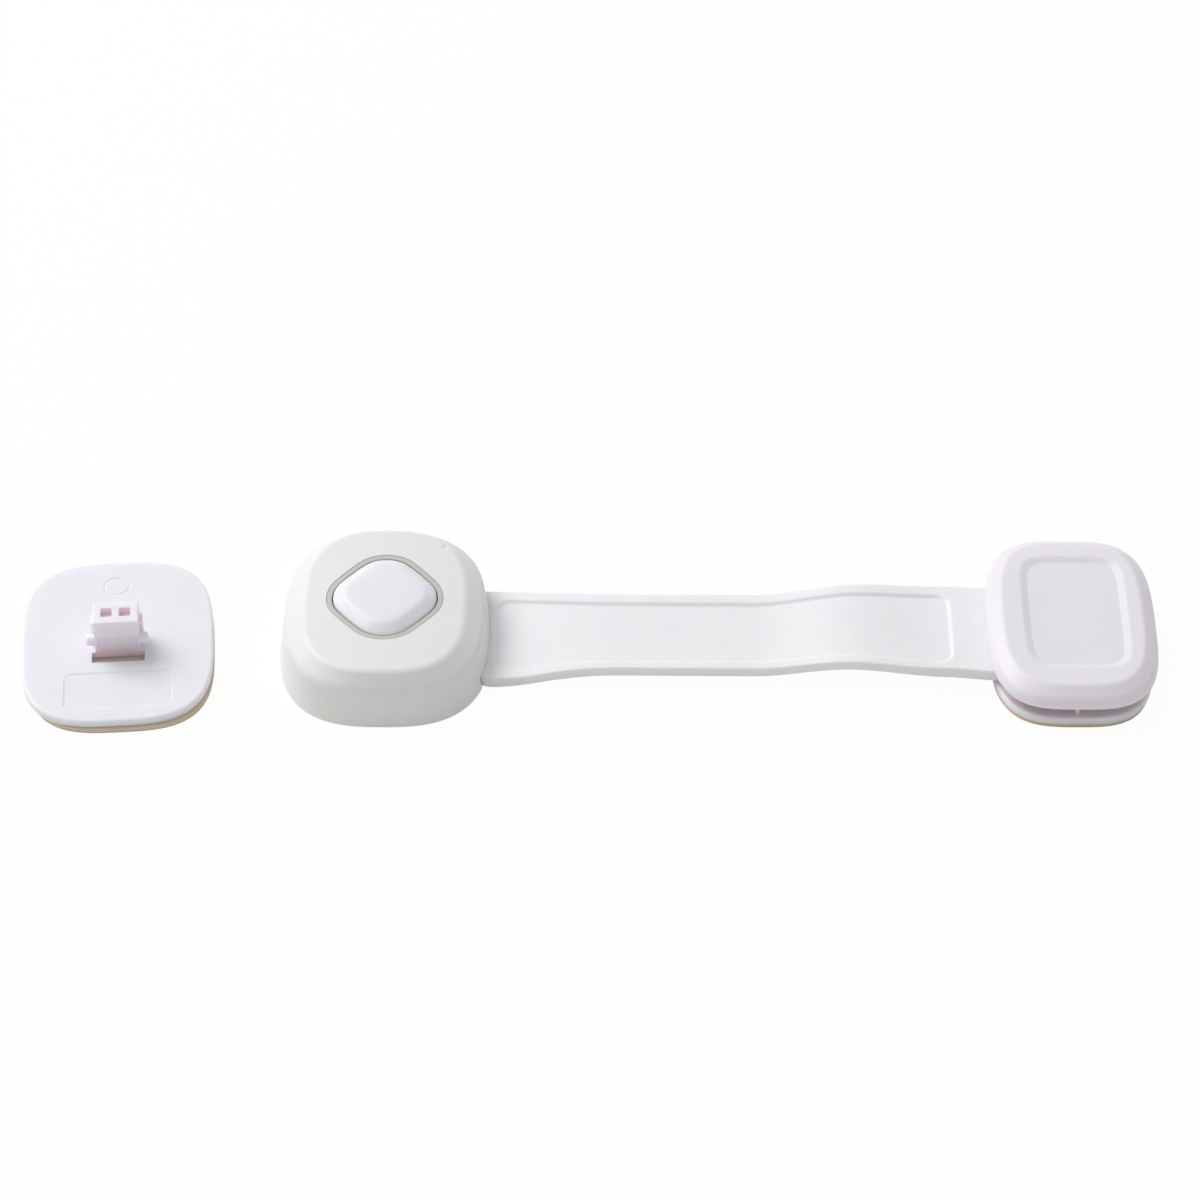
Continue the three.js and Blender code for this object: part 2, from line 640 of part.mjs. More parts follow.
function strapBody() {
  const endHalf = STRAP_END_WIDTH / 2;
  const along = [tongueX, ...stations(headX, strapFlat, STRAP_STEPS), STRAP_REACH + endHalf + 1];
  const lower = along.map((x) => new THREE.Vector2(x, strapBottom(x)));
  const upper = along.map((x) => new THREE.Vector2(x, strapBottom(x) + STRAP_THICKNESS));
  const side = sidePrism([...lower, ...upper.reverse()], 2 * STRAP_ROOT_WIDTH);
  const edge = stations(headX, STRAP_REACH - endHalf, STRAP_EDGE_STEPS);
  const front = [tongueX, ...edge].map((x) => new THREE.Vector2(x, strapSway(x) - strapHalf(x)));
  const eyeCentre = new THREE.Vector2(STRAP_REACH, -ANCHOR_FORWARD);
  const eye = stations(-Math.PI / 2, Math.PI / 2, ROUND_STEPS).map((angle) => {
    const arm = new THREE.Vector2(Math.cos(angle), Math.sin(angle)).multiplyScalar(endHalf);
    return arm.add(eyeCentre);
  });
  const back = [tongueX, ...edge].map((x) => new THREE.Vector2(x, strapSway(x) + strapHalf(x))).reverse();
  const top = strapEndZ + STRAP_CREST_Z + 2 * STRAP_THICKNESS;
  let body = side.intersect(prism([...front, ...eye, ...back], -1, top));
  body = body.subtract(strapPanel(top));
  const rabbet = rootHalf + 1;
  body = body.subtract(block(tongueX - 1, rabbetX, -rabbet, rabbet, -1, lidTop + FIT));
  for (const [x, y] of headScrews.filter(([px]) => throughTongue(px))) {
    body = body.subtract(rod(screwBore, x, y, -1, strapRootTop + 1));
  }
  return body.subtract(rod(ANCHOR_BOSS_RADIUS + FIT, eyeCentre.x, eyeCentre.y, 0, capEdge + 1));
}

// The sunken panel's space: a rounded outline inside the rim, down to a floor along the strap.
function strapPanel(top) {
  const start = headX + STRAP_PANEL_START;
  const end = STRAP_REACH - STRAP_PANEL_END;
  const along = stations(start, end, STRAP_FLOOR_STEPS);
  const web = STRAP_THICKNESS - STRAP_PANEL_SINK;
  const floor = along.map((x) => new THREE.Vector2(x, strapBottom(x) + web));
  const lid = [new THREE.Vector2(end, top), new THREE.Vector2(start, top)];
  const space = sidePrism([...floor, ...lid], STRAP_ROOT_WIDTH);
  const half = (x) => {
    const fromEnd = Math.min(x - start, end - x, STRAP_PANEL_CORNER);
    const arc = Math.sqrt(STRAP_PANEL_CORNER ** 2 - (STRAP_PANEL_CORNER - fromEnd) ** 2);
    return strapHalf(x) - STRAP_RIM - STRAP_PANEL_CORNER + arc;
  };
  const cornerSteps = stations(0, 1, ARC_STEPS).map((t) => STRAP_PANEL_CORNER * t * t);
  const rim = [
    ...cornerSteps.map((d) => start + d),
    ...stations(start + STRAP_PANEL_CORNER, end - STRAP_PANEL_CORNER, STRAP_RIM_STEPS).slice(1, -1),
    ...cornerSteps.map((d) => end - d).reverse(),
  ];
  const front = rim.map((x) => new THREE.Vector2(x, -half(x)));
  const back = rim.map((x) => new THREE.Vector2(x, half(x))).reverse();
  return space.intersect(prism([...front, ...back], -1, top));
}

// The strap is one moulding; it is held as three lengths so that it can bend at its middle.
function strapLength(body, x0, x1) {
  const wide = STRAP_ROOT_WIDTH;
  return body.intersect(block(x0, x1, -wide, wide, -1, capEdge + STRAP_CREST_Z));
}

// Anchor, about its own centre
const anchorX = ANCHOR_WIDTH / 2;
const anchorY = ANCHOR_DEPTH / 2;
const anchorPlateZ = LINER_THICKNESS + PAD_THICKNESS;
const anchorPlateTop = anchorPlateZ + ANCHOR_PLATE;
const anchorBossTop = capEdge - FIT;

function plate(halfX, halfY, squareness, z0, z1) {
  const rim = [corner(halfX, halfY, z0), corner(halfX, halfY, z1)];
  return loft([{ z: z0 }, ...ovalLevels(rim, squareness), { z: z1 }], RING_STEPS);
}

function anchorBase() {
  const ribInner = (STRAP_END_WIDTH / 2 + RUN + STOP_RIB) / Math.cos(SWIVEL);
  const ribOuter = anchorY - STOP_RIB_SETBACK;
  const ribX = STOP_RIB / 2;
  const rootZ = anchorPlateTop - ANCHOR_PLATE / 2;
  let base = plate(anchorX, anchorY, ANCHOR_SQUARENESS, anchorPlateZ, anchorPlateTop);
  base = base.add(rod(ANCHOR_BOSS_RADIUS, 0, 0, rootZ, anchorBossTop));
  for (const side of [-1, 1]) {
    const [y0, y1] = span(side * ribInner, side * ribOuter);
    base = base.add(block(-ribX, ribX, y0, y1, rootZ, anchorBossTop));
  }
  return base
    .subtract(rod(screwBore, 0, 0, 0, capEdge))
    .subtract(rod(screwPocket, 0, 0, 0, anchorPlateZ + screwSeat));
}

function anchorCap() {
  const capX = CAP_WIDTH / 2;
  const capY = CAP_DEPTH / 2;
  const top = capEdge + CAP_HEIGHT;
  const roof = top - CAP_ROOF;
  const outside = soften(
    [
      corner(capX - CAP_TUCK, capY - CAP_TUCK, capEdge),
      corner(capX, capY, capEdge + CAP_SOFTNESS),
      corner(capX - CAP_TUCK, capY - CAP_TUCK, capEdge + CAP_SKIRT),
      corner(capX - CAP_RIM_INSET, capY - CAP_RIM_INSET, top),
      corner(capX - 2 * CAP_RIM_INSET, capY - 2 * CAP_RIM_INSET, top),
    ],
    CAP_SOFTNESS,
  );
  const innerX = capX - CAP_TUCK - CAP_WALL;
  const innerY = capY - CAP_TUCK - CAP_WALL;
  const inside = [corner(innerX - CAP_WALL, innerY - CAP_WALL, roof), corner(innerX, innerY, capEdge)];
  let cap = loft(
    [
      { z: roof },
      ...ovalLevels(inside, CAP_SQUARENESS),
      ...ovalLevels(outside, CAP_SQUARENESS),
      { z: top },
    ],
    RING_STEPS,
  );
  const panelX = CAP_PANEL_WIDTH / 2;
  const panelY = CAP_PANEL_DEPTH / 2;
  const panel = [
    corner(panelX - CAP_PANEL_BEVEL, panelY - CAP_PANEL_BEVEL, top - CAP_PANEL_SINK),
    corner(panelX, panelY, top),
    corner(panelX, panelY, top + 1),
  ];
  const panelLevels = ovalLevels(panel, CAP_PANEL_SQUARENESS);
  const hollow = [{ z: top - CAP_PANEL_SINK }, ...panelLevels, { z: top + 1 }];
  cap = cap.subtract(loft(hollow, RING_STEPS));
  const screwEnd = anchorPlateZ + screwTop;
  return cap
    .add(rod(ANCHOR_BOSS_RADIUS, 0, 0, capEdge, roof + CAP_ROOF / 4))
    .subtract(rod(screwBore, 0, 0, capEdge - 1, screwEnd + FIT));
}

// Catch plate, about its own centre. Its post stands behind the slot that forms its lip, a little off
// the plate's middle, and it is built about the post's place in the lock head.
function catchPlate() {
  const x = CATCH_WIDTH / 2;
  const y = CATCH_DEPTH / 2;
  const bottom = LINER_THICKNESS + PAD_THICKNESS;
  const top = bottom + CATCH_PLATE;
  const edge = 2 * CATCH_EDGE;
  const rim = soften(
    [corner(x, y, bottom), corner(x, y, top), corner(x - edge, y - edge, top)],
    CATCH_EDGE,
  );
  let body = loft([{ z: bottom }, ...ovalLevels(rim, CATCH_SQUARENESS), { z: top }], RING_STEPS);
  body = body.translate([-POST_ASIDE, POST_FORWARD, 0]);
  const slotHalf = POST_SLOT_WIDTH / 2;
  body = body.subtract(block(-slotHalf, slotHalf, postNeck - POST_SLOT_DEPTH, postNeck + FIT, 0, top + 1));
  const labelHalf = LABEL_WIDTH / 2;
  const labelBack = LABEL_FRONT + LABEL_DEPTH;
  body = body.subtract(block(-labelHalf, labelHalf, LABEL_FRONT, labelBack, top - LABEL_SINK, top + 1));
  const hook = [
    new THREE.Vector2(postNeck, bottom + CATCH_PLATE / 4),
    new THREE.Vector2(postBack, bottom + CATCH_PLATE / 4),
    new THREE.Vector2(postBack, top + POST_HEIGHT),
    new THREE.Vector2(POST_FRONT, top + POST_HEIGHT),
    new THREE.Vector2(POST_FRONT, top + LIP_HEIGHT),
    new THREE.Vector2(postNeck, top + LIP_HEIGHT - LIP_DEPTH / 4),
  ];
  body = body.add(crossPrism(hook, -postX, postX));
  for (const side of [-1, 1]) {
    body = body.add(catchPin(side, top));
    const [r0, r1] = span(side * (postX - POST_RIB), side * (postX + POST_RIB));
    const ribFront = PIN_BACK + PIN_RADIUS + FIT;
    const ribTop = top + LIP_HEIGHT + PIN_RADIUS;
    body = body.add(block(r0, r1, ribFront, postBack - POST_RIB, bottom + CATCH_PLATE / 2, ribTop));
    const w0 = (side * POST_WINDOW_SPACING - POST_WINDOW_WIDTH) / 2;
    const v0 = (POST_FRONT + postBack - POST_WINDOW_DEPTH) / 2;
    const [w1, v1] = [w0 + POST_WINDOW_WIDTH, v0 + POST_WINDOW_DEPTH];
    const postTop = top + POST_HEIGHT;
    body = body.subtract(block(w0, w1, v0, v1, postTop - POST_WINDOW_SINK, postTop + 1));
  }
  return body.translate([POST_ASIDE, -POST_FORWARD, 0]);
}

function catchPin(side, plateTop) {
  const dome = PIN_RADIUS / 3;
  const root = postX - POST_RIB;
  const profile = [
    new THREE.Vector2(0, root),
    new THREE.Vector2(PIN_RADIUS, root),
    new THREE.Vector2(PIN_RADIUS, pinX - dome),
    new THREE.Vector2(PIN_TIP_RADIUS, pinX),
    new THREE.Vector2(0, pinX),
  ];
  const geometry = new THREE.LatheGeometry(profile, ROUND_STEPS);
  geometry.rotateZ((-side * Math.PI) / 2);
  geometry.translate(0, PIN_BACK, plateTop + PIN_HEIGHT);
  return solid(geometry);
}

const headWhite = () => material(0xe9e8e4, 0.45);
const coolWhite = () => material(0xe8e6ee, 0.42);
const strapWhite = () => material(0xf0f0f0, 0.5);
const bezelGrey = () => material(0xc8c8be, 0.5);
const padTan = () => material(0xcdbca4, 0.9);
const linerTan = () => material(0xd8c9b0, 0.8);
const innerGrey = () => material(0xd8d8d8, 0.5);
const steel = () => material(0xb8bcc0, 0.3, 1);

const head = new THREE.Group();
head.add(
  piece("head_shell", headShell(), headWhite()),
  piece("head_base", headBase(), headWhite()),
  piece("button", button(), coolWhite()),
  piece("button_bezel", buttonBezel(), bezelGrey()),
  piece("latch_slide", latchSlide(), innerGrey()),
  piece("latch_spring_left", latchSpring(-1), steel()),
  piece("latch_spring_right", latchSpring(1), steel()),
);
headScrews.forEach(([x, y], i) => {
  head.add(piece(`head_screw_${i + 1}`, screw(x, y, SCREW_SINK), steel()));
});

const strap = strapBody();
const flexStart = strapMiddle - STRAP_FLEX_LENGTH / 2;
const flexEnd = strapMiddle + STRAP_FLEX_LENGTH / 2;
const strapTip = STRAP_REACH + STRAP_END_WIDTH;
head.add(
  piece("strap_head_end", strapLength(strap, 0, flexStart - FIT / 2), strapWhite()),
  piece("strap_flex_middle", strapLength(strap, flexStart + FIT / 2, flexEnd - FIT / 2), strapWhite()),
  piece("strap_anchor_end", strapLength(strap, flexEnd + FIT / 2, strapTip), strapWhite()),
);

const anchorLayer = (z0, z1) =>
  plate(anchorX - PAD_INSET, anchorY - PAD_INSET, ANCHOR_SQUARENESS, z0, z1);
const catchLayer = (z0, z1) =>
  plate(CATCH_WIDTH / 2 - PAD_INSET, CATCH_DEPTH / 2 - PAD_INSET, CATCH_SQUARENESS, z0, z1);

const anchor = new THREE.Group();
anchor.position.set(STRAP_REACH, -ANCHOR_FORWARD, 0);
anchor.add(
  piece("anchor_base", anchorBase(), coolWhite()),
  piece("anchor_cap", anchorCap(), coolWhite()),
  piece("anchor_screw", screw(0, 0, anchorPlateZ + SCREW_SINK), steel()),
  piece("anchor_pad", anchorLayer(LINER_THICKNESS, anchorPlateZ), padTan()),
  piece("anchor_liner", anchorLayer(0, LINER_THICKNESS), linerTan()),
);

const catchPadTop = LINER_THICKNESS + PAD_THICKNESS;
const catchPad = piece("catch_pad", catchLayer(LINER_THICKNESS, catchPadTop), padTan());
const catchLiner = piece("catch_liner", catchLayer(0, LINER_THICKNESS), linerTan());
catchPad.position.set(CATCH_PAD_ASIDE, -CATCH_PAD_FORWARD, 0);
catchLiner.position.copy(catchPad.position);
const loosePlate = new THREE.Group();
loosePlate.position.set(-CATCH_DISTANCE, CATCH_BACK, 0);
loosePlate.rotation.z = CATCH_TURN;
loosePlate.add(piece("catch_plate", catchPlate(), coolWhite()), catchPad, catchLiner);

// The set is centred on the middle of its own footprint.
const set = new THREE.Group();
set.add(head, anchor, loosePlate);
const footprint = new THREE.Box3().setFromObject(set, true);
const middle = footprint.getCenter(new THREE.Vector3());
set.position.set(-middle.x, -middle.y, 0);

const strapLock = new THREE.Group();
strapLock.name = "strap_lock";
strapLock.add(set);
console.log(`head centre at x ${set.position.x.toFixed(3)}, y ${set.position.y.toFixed(3)}`);

export default strapLock;
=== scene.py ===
import math

import bmesh
import bpy
from mathutils import Matrix, Vector


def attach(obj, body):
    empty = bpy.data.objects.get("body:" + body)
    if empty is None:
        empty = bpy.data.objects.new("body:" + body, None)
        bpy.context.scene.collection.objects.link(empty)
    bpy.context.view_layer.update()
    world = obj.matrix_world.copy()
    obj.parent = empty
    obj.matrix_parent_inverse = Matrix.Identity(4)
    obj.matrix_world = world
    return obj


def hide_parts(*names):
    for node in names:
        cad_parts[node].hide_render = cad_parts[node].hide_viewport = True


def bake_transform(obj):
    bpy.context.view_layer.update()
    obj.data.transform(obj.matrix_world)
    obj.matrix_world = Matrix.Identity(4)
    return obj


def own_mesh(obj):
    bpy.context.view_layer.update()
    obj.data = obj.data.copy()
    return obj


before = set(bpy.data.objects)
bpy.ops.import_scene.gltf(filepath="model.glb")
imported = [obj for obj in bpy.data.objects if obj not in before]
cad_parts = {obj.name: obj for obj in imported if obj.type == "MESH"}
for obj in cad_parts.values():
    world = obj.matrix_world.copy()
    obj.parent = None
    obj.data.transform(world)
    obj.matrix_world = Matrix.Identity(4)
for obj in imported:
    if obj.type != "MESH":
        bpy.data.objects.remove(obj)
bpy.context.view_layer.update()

# Pieces are shaped in millimetres about their own centre, then settled in metres where they belong.
# A level is (half width, half depth, height), a level of a diamond is (radius, height),
# a round is (height, width, segments) and rows are (start, step, count).
MM = 0.001
NEAR = 1e-3
BELOW = -1
SIDES = (-1, 1)
HEAD_PLACE = (-50.29, 1.184)
ANCHOR_PLACE = (120.71, 0.084)
CATCH_PLACE = (-117.84, -1.586)
CATCH_TURN = math.radians(4.5)


# Shaping

ROUND = 2
RING_CORNERS = 144
DIAMOND_X, DIAMOND_Y = 5.4, 6.1
ARC_STEPS, SIDE_STEPS = 16, 8
SIDE_SWELL = 0.35


def release():
    """Leaves edit mode and selects nothing."""
    if bpy.context.object and bpy.context.object.mode != "OBJECT":
        bpy.ops.object.mode_set(mode="OBJECT")
    bpy.ops.object.select_all(action="DESELECT")


def grip(piece):
    """Only this piece is selected and active."""
    release()
    piece.select_set(True)
    bpy.context.view_layer.objects.active = piece


def work_on(piece):
    """Opens a piece in edit mode."""
    grip(piece)
    bpy.ops.object.mode_set(mode="EDIT")


def smooth_step(low, high, x):
    t = min(max((x - low) / (high - low), 0), 1)
    return t * t * (3 - 2 * t)


def there_and_back(spans, x):
    """0 before the first span, 1 between the two and 0 after the second."""
    return smooth_step(*spans[0], x) * (1 - smooth_step(*spans[1], x))


def mirrored(span, side):
    """A span on one side of the middle."""
    return sorted(side * end for end in span)


def oval(half_x, half_y, squareness, count=RING_CORNERS):
    """Corners of a squarish oval."""
    corners = []
    for step in range(count):
        angle = 2 * math.pi * step / count
        c, s = math.cos(angle), math.sin(angle)
        reach = (abs(c / half_x) ** squareness + abs(s / half_y) ** squareness) ** (-1 / squareness)
        corners.append((reach * c, reach * s))
    return corners


def shifted(corners, x, y):
    return [(cx + x, cy + y) for cx, cy in corners]


def diamond(radius):
    """Corners of the button's rounded diamond: four arcs of one radius and slightly swollen sides."""
    side = math.atan2(DIAMOND_X, DIAMOND_Y)
    spans = (side, math.pi / 2 - side, side, math.pi / 2 - side)
    centres = ((DIAMOND_X, 0), (0, DIAMOND_Y), (-DIAMOND_X, 0), (0, -DIAMOND_Y))
    corners = []
    for quarter, (cx, cy) in enumerate(centres):
        for step in range(ARC_STEPS + 1):
            angle = quarter * math.pi / 2 + spans[quarter] * (2 * step / ARC_STEPS - 1)
            corners.append((cx + radius * math.cos(angle), cy + radius * math.sin(angle)))
    outline = []
    for i, (x, y) in enumerate(corners):
        next_x, next_y = corners[(i + 1) % len(corners)]
        steps = SIDE_STEPS if i % (ARC_STEPS + 1) == ARC_STEPS else 1
        outline += [(x + (next_x - x) * s / steps, y + (next_y - y) * s / steps) for s in range(steps)]
    return [swollen(x, y) for x, y in outline]


def swollen(x, y):
    """Moves a corner outwards, most of all halfway between the diamond's tips."""
    reach = math.hypot(x, y)
    grow = 1 + SIDE_SWELL * (2 * x * y / reach ** 2) ** 2 / reach
    return x * grow, y * grow


def lay_outline(name, corners, z):
    """A filled ring of numbered corners at one height, left in edit mode and selected."""
    release()
    bpy.ops.mesh.primitive_circle_add(vertices=len(corners), radius=1, fill_type="NOTHING")
    piece = bpy.context.active_object
    piece.name = name
    piece.data.name = name
    order = piece.data.attributes.new("corner", "INT", "POINT")
    for i, (x, y) in enumerate(corners):
        piece.data.vertices[i].co = (x, y, z)
        order.data[i].value = i
    bpy.ops.object.mode_set(mode="EDIT")
    bpy.ops.mesh.select_all(action="SELECT")
    bpy.ops.mesh.edge_face_add()
    return piece


def draw_on(piece, corners, z):
    """Extrudes the selected face and sets its corners on the next outline."""
    bpy.ops.mesh.extrude_region()
    shape = bmesh.from_edit_mesh(piece.data)
    order = shape.verts.layers.int["corner"]
    for corner in shape.verts:
        if corner.select:
            corner.co = (*corners[corner[order]], z)
    bmesh.update_edit_mesh(piece.data)


def loft(name, outlines):
    """A closed solid through outlines of equal count, each (corners, height), left in edit mode."""
    piece = lay_outline(name, *outlines[0])
    for corners, z in outlines[1:]:
        draw_on(piece, corners, z)
    face_outwards()
    return piece


def stack(name, squareness, levels):
    """A closed solid of ovals of one squareness."""
    return loft(name, [(oval(wide, deep, squareness), z) for wide, deep, z in levels])


def face_outwards():
    bpy.ops.mesh.select_all(action="SELECT")
    bpy.ops.mesh.normals_make_consistent(inside=False)


def pick_edges(piece, test):
    """In edit mode, selects the edges whose two ends pass the test."""
    bpy.ops.mesh.select_mode(type="EDGE")
    bpy.ops.mesh.select_all(action="DESELECT")
    shape = bmesh.from_edit_mesh(piece.data)
    for edge in shape.edges:
        if all(test(corner.co) for corner in edge.verts):
            edge.select_set(True)
    shape.select_flush_mode()
    bmesh.update_edit_mesh(piece.data)


def round_edges(piece, test, width, segments):
    pick_edges(piece, test)
    bpy.ops.mesh.bevel(offset=width, segments=segments, profile=0.5, affect="EDGES", clamp_overlap=False)


def round_levels(piece, rounds):
    """In edit mode, rounds the edges that lie at each round's height."""
    for z, width, segments in rounds:
        round_edges(piece, lambda co: abs(co.z - z) < NEAR, width, segments)


def slice_along_x(piece, start, step, count):
    """Cuts rows into a piece so that it can be curved along X."""
    work_on(piece)
    for i in range(count):
        bpy.ops.mesh.select_all(action="SELECT")
        bpy.ops.mesh.bisect(plane_co=(start + step * i, 0, 0), plane_no=(1, 0, 0))
    release()


def apply_modifier(piece, kind, **settings):
    grip(piece)
    modifier = piece.modifiers.new("shape", kind)
    for key, value in settings.items():
        setattr(modifier, key, value)
    bpy.ops.object.modifier_apply(modifier=modifier.name)


def soften(piece, width, segments, angle):
    """Rounds every edge sharper than the angle."""
    apply_modifier(
        piece, "BEVEL", width=width, segments=segments, limit_method="ANGLE",
        angle_limit=math.radians(angle), use_clamp_overlap=True,
    )


def combine(piece, tool, operation):
    apply_modifier(piece, "BOOLEAN", object=tool, operation=operation, solver="EXACT")
    bpy.data.objects.remove(tool)


def cut(piece, tool):
    combine(piece, tool, "DIFFERENCE")


def weld(piece, other):
    combine(piece, other, "UNION")


def apply_transform():
    bpy.ops.object.transform_apply(location=True, rotation=True, scale=True)


def block(*spans):
    """A box between its spans along X, Y and Z."""
    release()
    bpy.ops.mesh.primitive_cube_add(size=1)
    piece = bpy.context.active_object
    piece.scale = [high - low for low, high in spans]
    piece.location = [(low + high) / 2 for low, high in spans]
    apply_transform()
    return piece


def rod(radius, place, heights, count):
    """An upright round rod."""
    low, high = heights
    release()
    bpy.ops.mesh.primitive_cylinder_add(
        vertices=count, radius=radius, depth=high - low, location=(*place, (low + high) / 2)
    )
    apply_transform()
    return bpy.context.active_object


def settle(piece, place, turn=0.0, angle=32):
    """Scales a finished piece to metres, puts it in its place and smooths its shading."""
    grip(piece)
    if "corner" in piece.data.attributes:
        piece.data.attributes.remove(piece.data.attributes["corner"])
    piece.scale = (MM, MM, MM)
    piece.rotation_euler = (0, 0, turn)
    piece.location = (place[0] * MM, place[1] * MM, 0)
    apply_transform()
    bpy.ops.object.shade_smooth_by_angle(angle=math.radians(angle))
    apply_modifier(piece, "WEIGHTED_NORMAL", keep_sharp=True, weight=50)
    return piece


def beside(place, turn, x, y):
    """A place x and y away from another, along its turned axes."""
    c, s = math.cos(turn), math.sin(turn)
    return place[0] + x * c - y * s, place[1] + x * s + y * c


def wear(piece, finish):
    """Gives a piece its one finish."""
    piece.data.materials.clear()
    piece.data.materials.append(finish)


def fit(piece, body, slot, finish, *nodes):
    """Gives a piece its finish and its body, and hides the nodes it stands for."""
    wear(piece, finish)
    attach(piece, body)
    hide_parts(*nodes)


# Finishes

# Painted shade: the darker pink that gaps, pockets and the post's neck take, standing in for shade and for
# light coming pink through the thin plastic.
PAINTED_GAP_SHADE = (0.88, 0.75, 0.81)
GLOW_RADIUS = (1.0, 0.5, 0.7)
GLOW_SCALE = 0.003


def mark_painted_shade(piece, depth):
    """Notes on each corner how much painted shade it gets, from 0 to 1: the deeper in a gap, the more."""
    release()
    marks = piece.data.attributes.new("depth", "FLOAT", "POINT")
    for i, corner in enumerate(piece.data.vertices):
        marks.data[i].value = depth(corner.co)


def set_socket(tree, socket, value):
    """Gives an input a value, or links it to another node's output."""
    if isinstance(value, bpy.types.NodeSocket):
        tree.links.new(value, socket)
    else:
        socket.default_value = value


def feed(tree, node, **inputs):
    """Sets a node's inputs by their names, with _ for a space."""
    for key, value in inputs.items():
        set_socket(tree, node.inputs[key.replace("_", " ")], value)
    return node


def add_node(tree, kind, **inputs):
    return feed(tree, tree.nodes.new(kind), **inputs)


def add_group(tree, group, **inputs):
    node = tree.nodes.new("ShaderNodeGroup")
    node.node_tree = group
    return feed(tree, node, **inputs)


def new_group(name, inputs, outputs):
    """A shader node group with named number sockets."""
    group = bpy.data.node_groups.new(name, "ShaderNodeTree")
    for label, value in inputs:
        socket = group.interface.new_socket(label, in_out="INPUT", socket_type="NodeSocketFloat")
        socket.default_value = value
    for label in outputs:
        group.interface.new_socket(label, in_out="OUTPUT", socket_type="NodeSocketFloat")
    return group, group.nodes.new("NodeGroupInput"), group.nodes.new("NodeGroupOutput")


def object_place(tree):
    return tree.nodes.new("ShaderNodeTexCoord").outputs["Object"]


def math_node(tree, operation, a, b):
    node = tree.nodes.new("ShaderNodeMath")
    node.operation = operation
    for socket, value in zip(node.inputs, (a, b)):
        set_socket(tree, socket, value)
    return node.outputs[0]


def range_node(tree, value, given, wanted):
    """Stretches a value's given range to the wanted one."""
    node = add_node(
        tree, "ShaderNodeMapRange", Value=value,
        From_Min=given[0], From_Max=given[1], To_Min=wanted[0], To_Max=wanted[1],
    )
    return node.outputs["Result"]


def moulded_skin_group():
    """Spark-eroded mould grain, flow marks and handling patches of a moulded plastic."""
    group, given, out = new_group(
        "moulded_skin",
        [("Grain Scale", 2600), ("Base Roughness", 0.45), ("Roughness Spread", 0.08)],
        ["Tone", "Roughness", "Height"],
    )
    place = object_place(group)
    grain = add_node(
        group, "ShaderNodeTexNoise", Vector=place, Scale=given.outputs["Grain Scale"],
        Detail=3.0, Roughness=0.6,
    )
    flow = add_node(
        group, "ShaderNodeTexNoise", Vector=place, Scale=55.0, Detail=4.0, Roughness=0.55, Distortion=0.6
    )
    patches = add_node(group, "ShaderNodeTexNoise", Vector=place, Scale=210.0, Detail=5.0, Roughness=0.6)
    uneven = math_node(group, "SUBTRACT", patches.outputs["Fac"], 0.5)
    spread = math_node(group, "MULTIPLY", uneven, given.outputs["Roughness Spread"])
    rough = math_node(group, "ADD", given.outputs["Base Roughness"], spread)
    tone = range_node(group, flow.outputs["Fac"], (0.3, 0.7), (0.0, 1.0))
    feed(group, out, Tone=tone, Roughness=rough, Height=grain.outputs["Fac"])
    return group


def foam_cells_group():
    """Cut foam cells, with darker pits and a slow mottling."""
    group, given, out = new_group("foam_cells", [("Cell Scale", 2800)], ["Tone", "Roughness", "Height"])
    place = object_place(group)
    cells = add_node(
        group, "ShaderNodeTexVoronoi", Vector=place, Scale=given.outputs["Cell Scale"], Randomness=1.0
    )
    mottle = add_node(group, "ShaderNodeTexNoise", Vector=place, Scale=130.0, Detail=6.0, Roughness=0.7)
    pits = range_node(group, cells.outputs["Distance"], (0.0, 0.6), (0.0, 1.0))
    half = math_node(group, "MULTIPLY", pits, 0.5)
    slow = math_node(group, "MULTIPLY", mottle.outputs["Fac"], 0.6)
    tone = math_node(group, "ADD", slow, half)
    rough = range_node(group, pits, (0.0, 1.0), (0.95, 0.82))
    feed(group, out, Tone=tone, Roughness=rough, Height=pits)
    return group


def new_finish(name):
    """An empty material with its Principled shader."""
    finish = bpy.data.materials.new(name)
    finish.use_nodes = True
    return finish, finish.node_tree, finish.node_tree.nodes["Principled BSDF"]


def tinted(tree, factor, first, second):
    """A colour between two, by a factor that changes over the surface."""
    mix = tree.nodes.new("ShaderNodeMix")
    mix.data_type = "RGBA"
    first, second = (c if isinstance(c, bpy.types.NodeSocket) else (*c, 1) for c in (first, second))
    feed(tree, mix, Factor=factor, A=first, B=second)
    return mix.outputs["Result"]


def bumped(tree, shader, height, distance, strength):
    bump = add_node(tree, "ShaderNodeBump", Height=height, Distance=distance, Strength=strength)
    feed(tree, shader, Normal=bump.outputs["Normal"])


def moulded_plastic(name, first, second, roughness, grain=2600, strength=0.12, milky=0.0):
    """A moulded plastic; a milky one lets light through, and where a piece has depth marks its colour turns
    to painted pinkish shade deep in its gaps.
    """
    finish, tree, shader = new_finish(name)
    skin = add_group(tree, MOULDED_SKIN, Grain_Scale=grain, Base_Roughness=roughness)
    colour = tinted(tree, skin.outputs["Tone"], first, second)
    if milky:
        # Painted shade: the depth marks mix in the darker pink gap colour.
        depth = tree.nodes.new("ShaderNodeAttribute")
        depth.attribute_name = "depth"
        colour = tinted(tree, depth.outputs["Fac"], colour, PAINTED_GAP_SHADE)
        feed(
            tree, shader, Subsurface_Weight=milky, Subsurface_Radius=GLOW_RADIUS, Subsurface_Scale=GLOW_SCALE
        )
    feed(tree, shader, Base_Color=colour, Roughness=skin.outputs["Roughness"], Specular_IOR_Level=0.4)
    bumped(tree, shader, skin.outputs["Height"], distance=0.00004, strength=strength)
    return finish


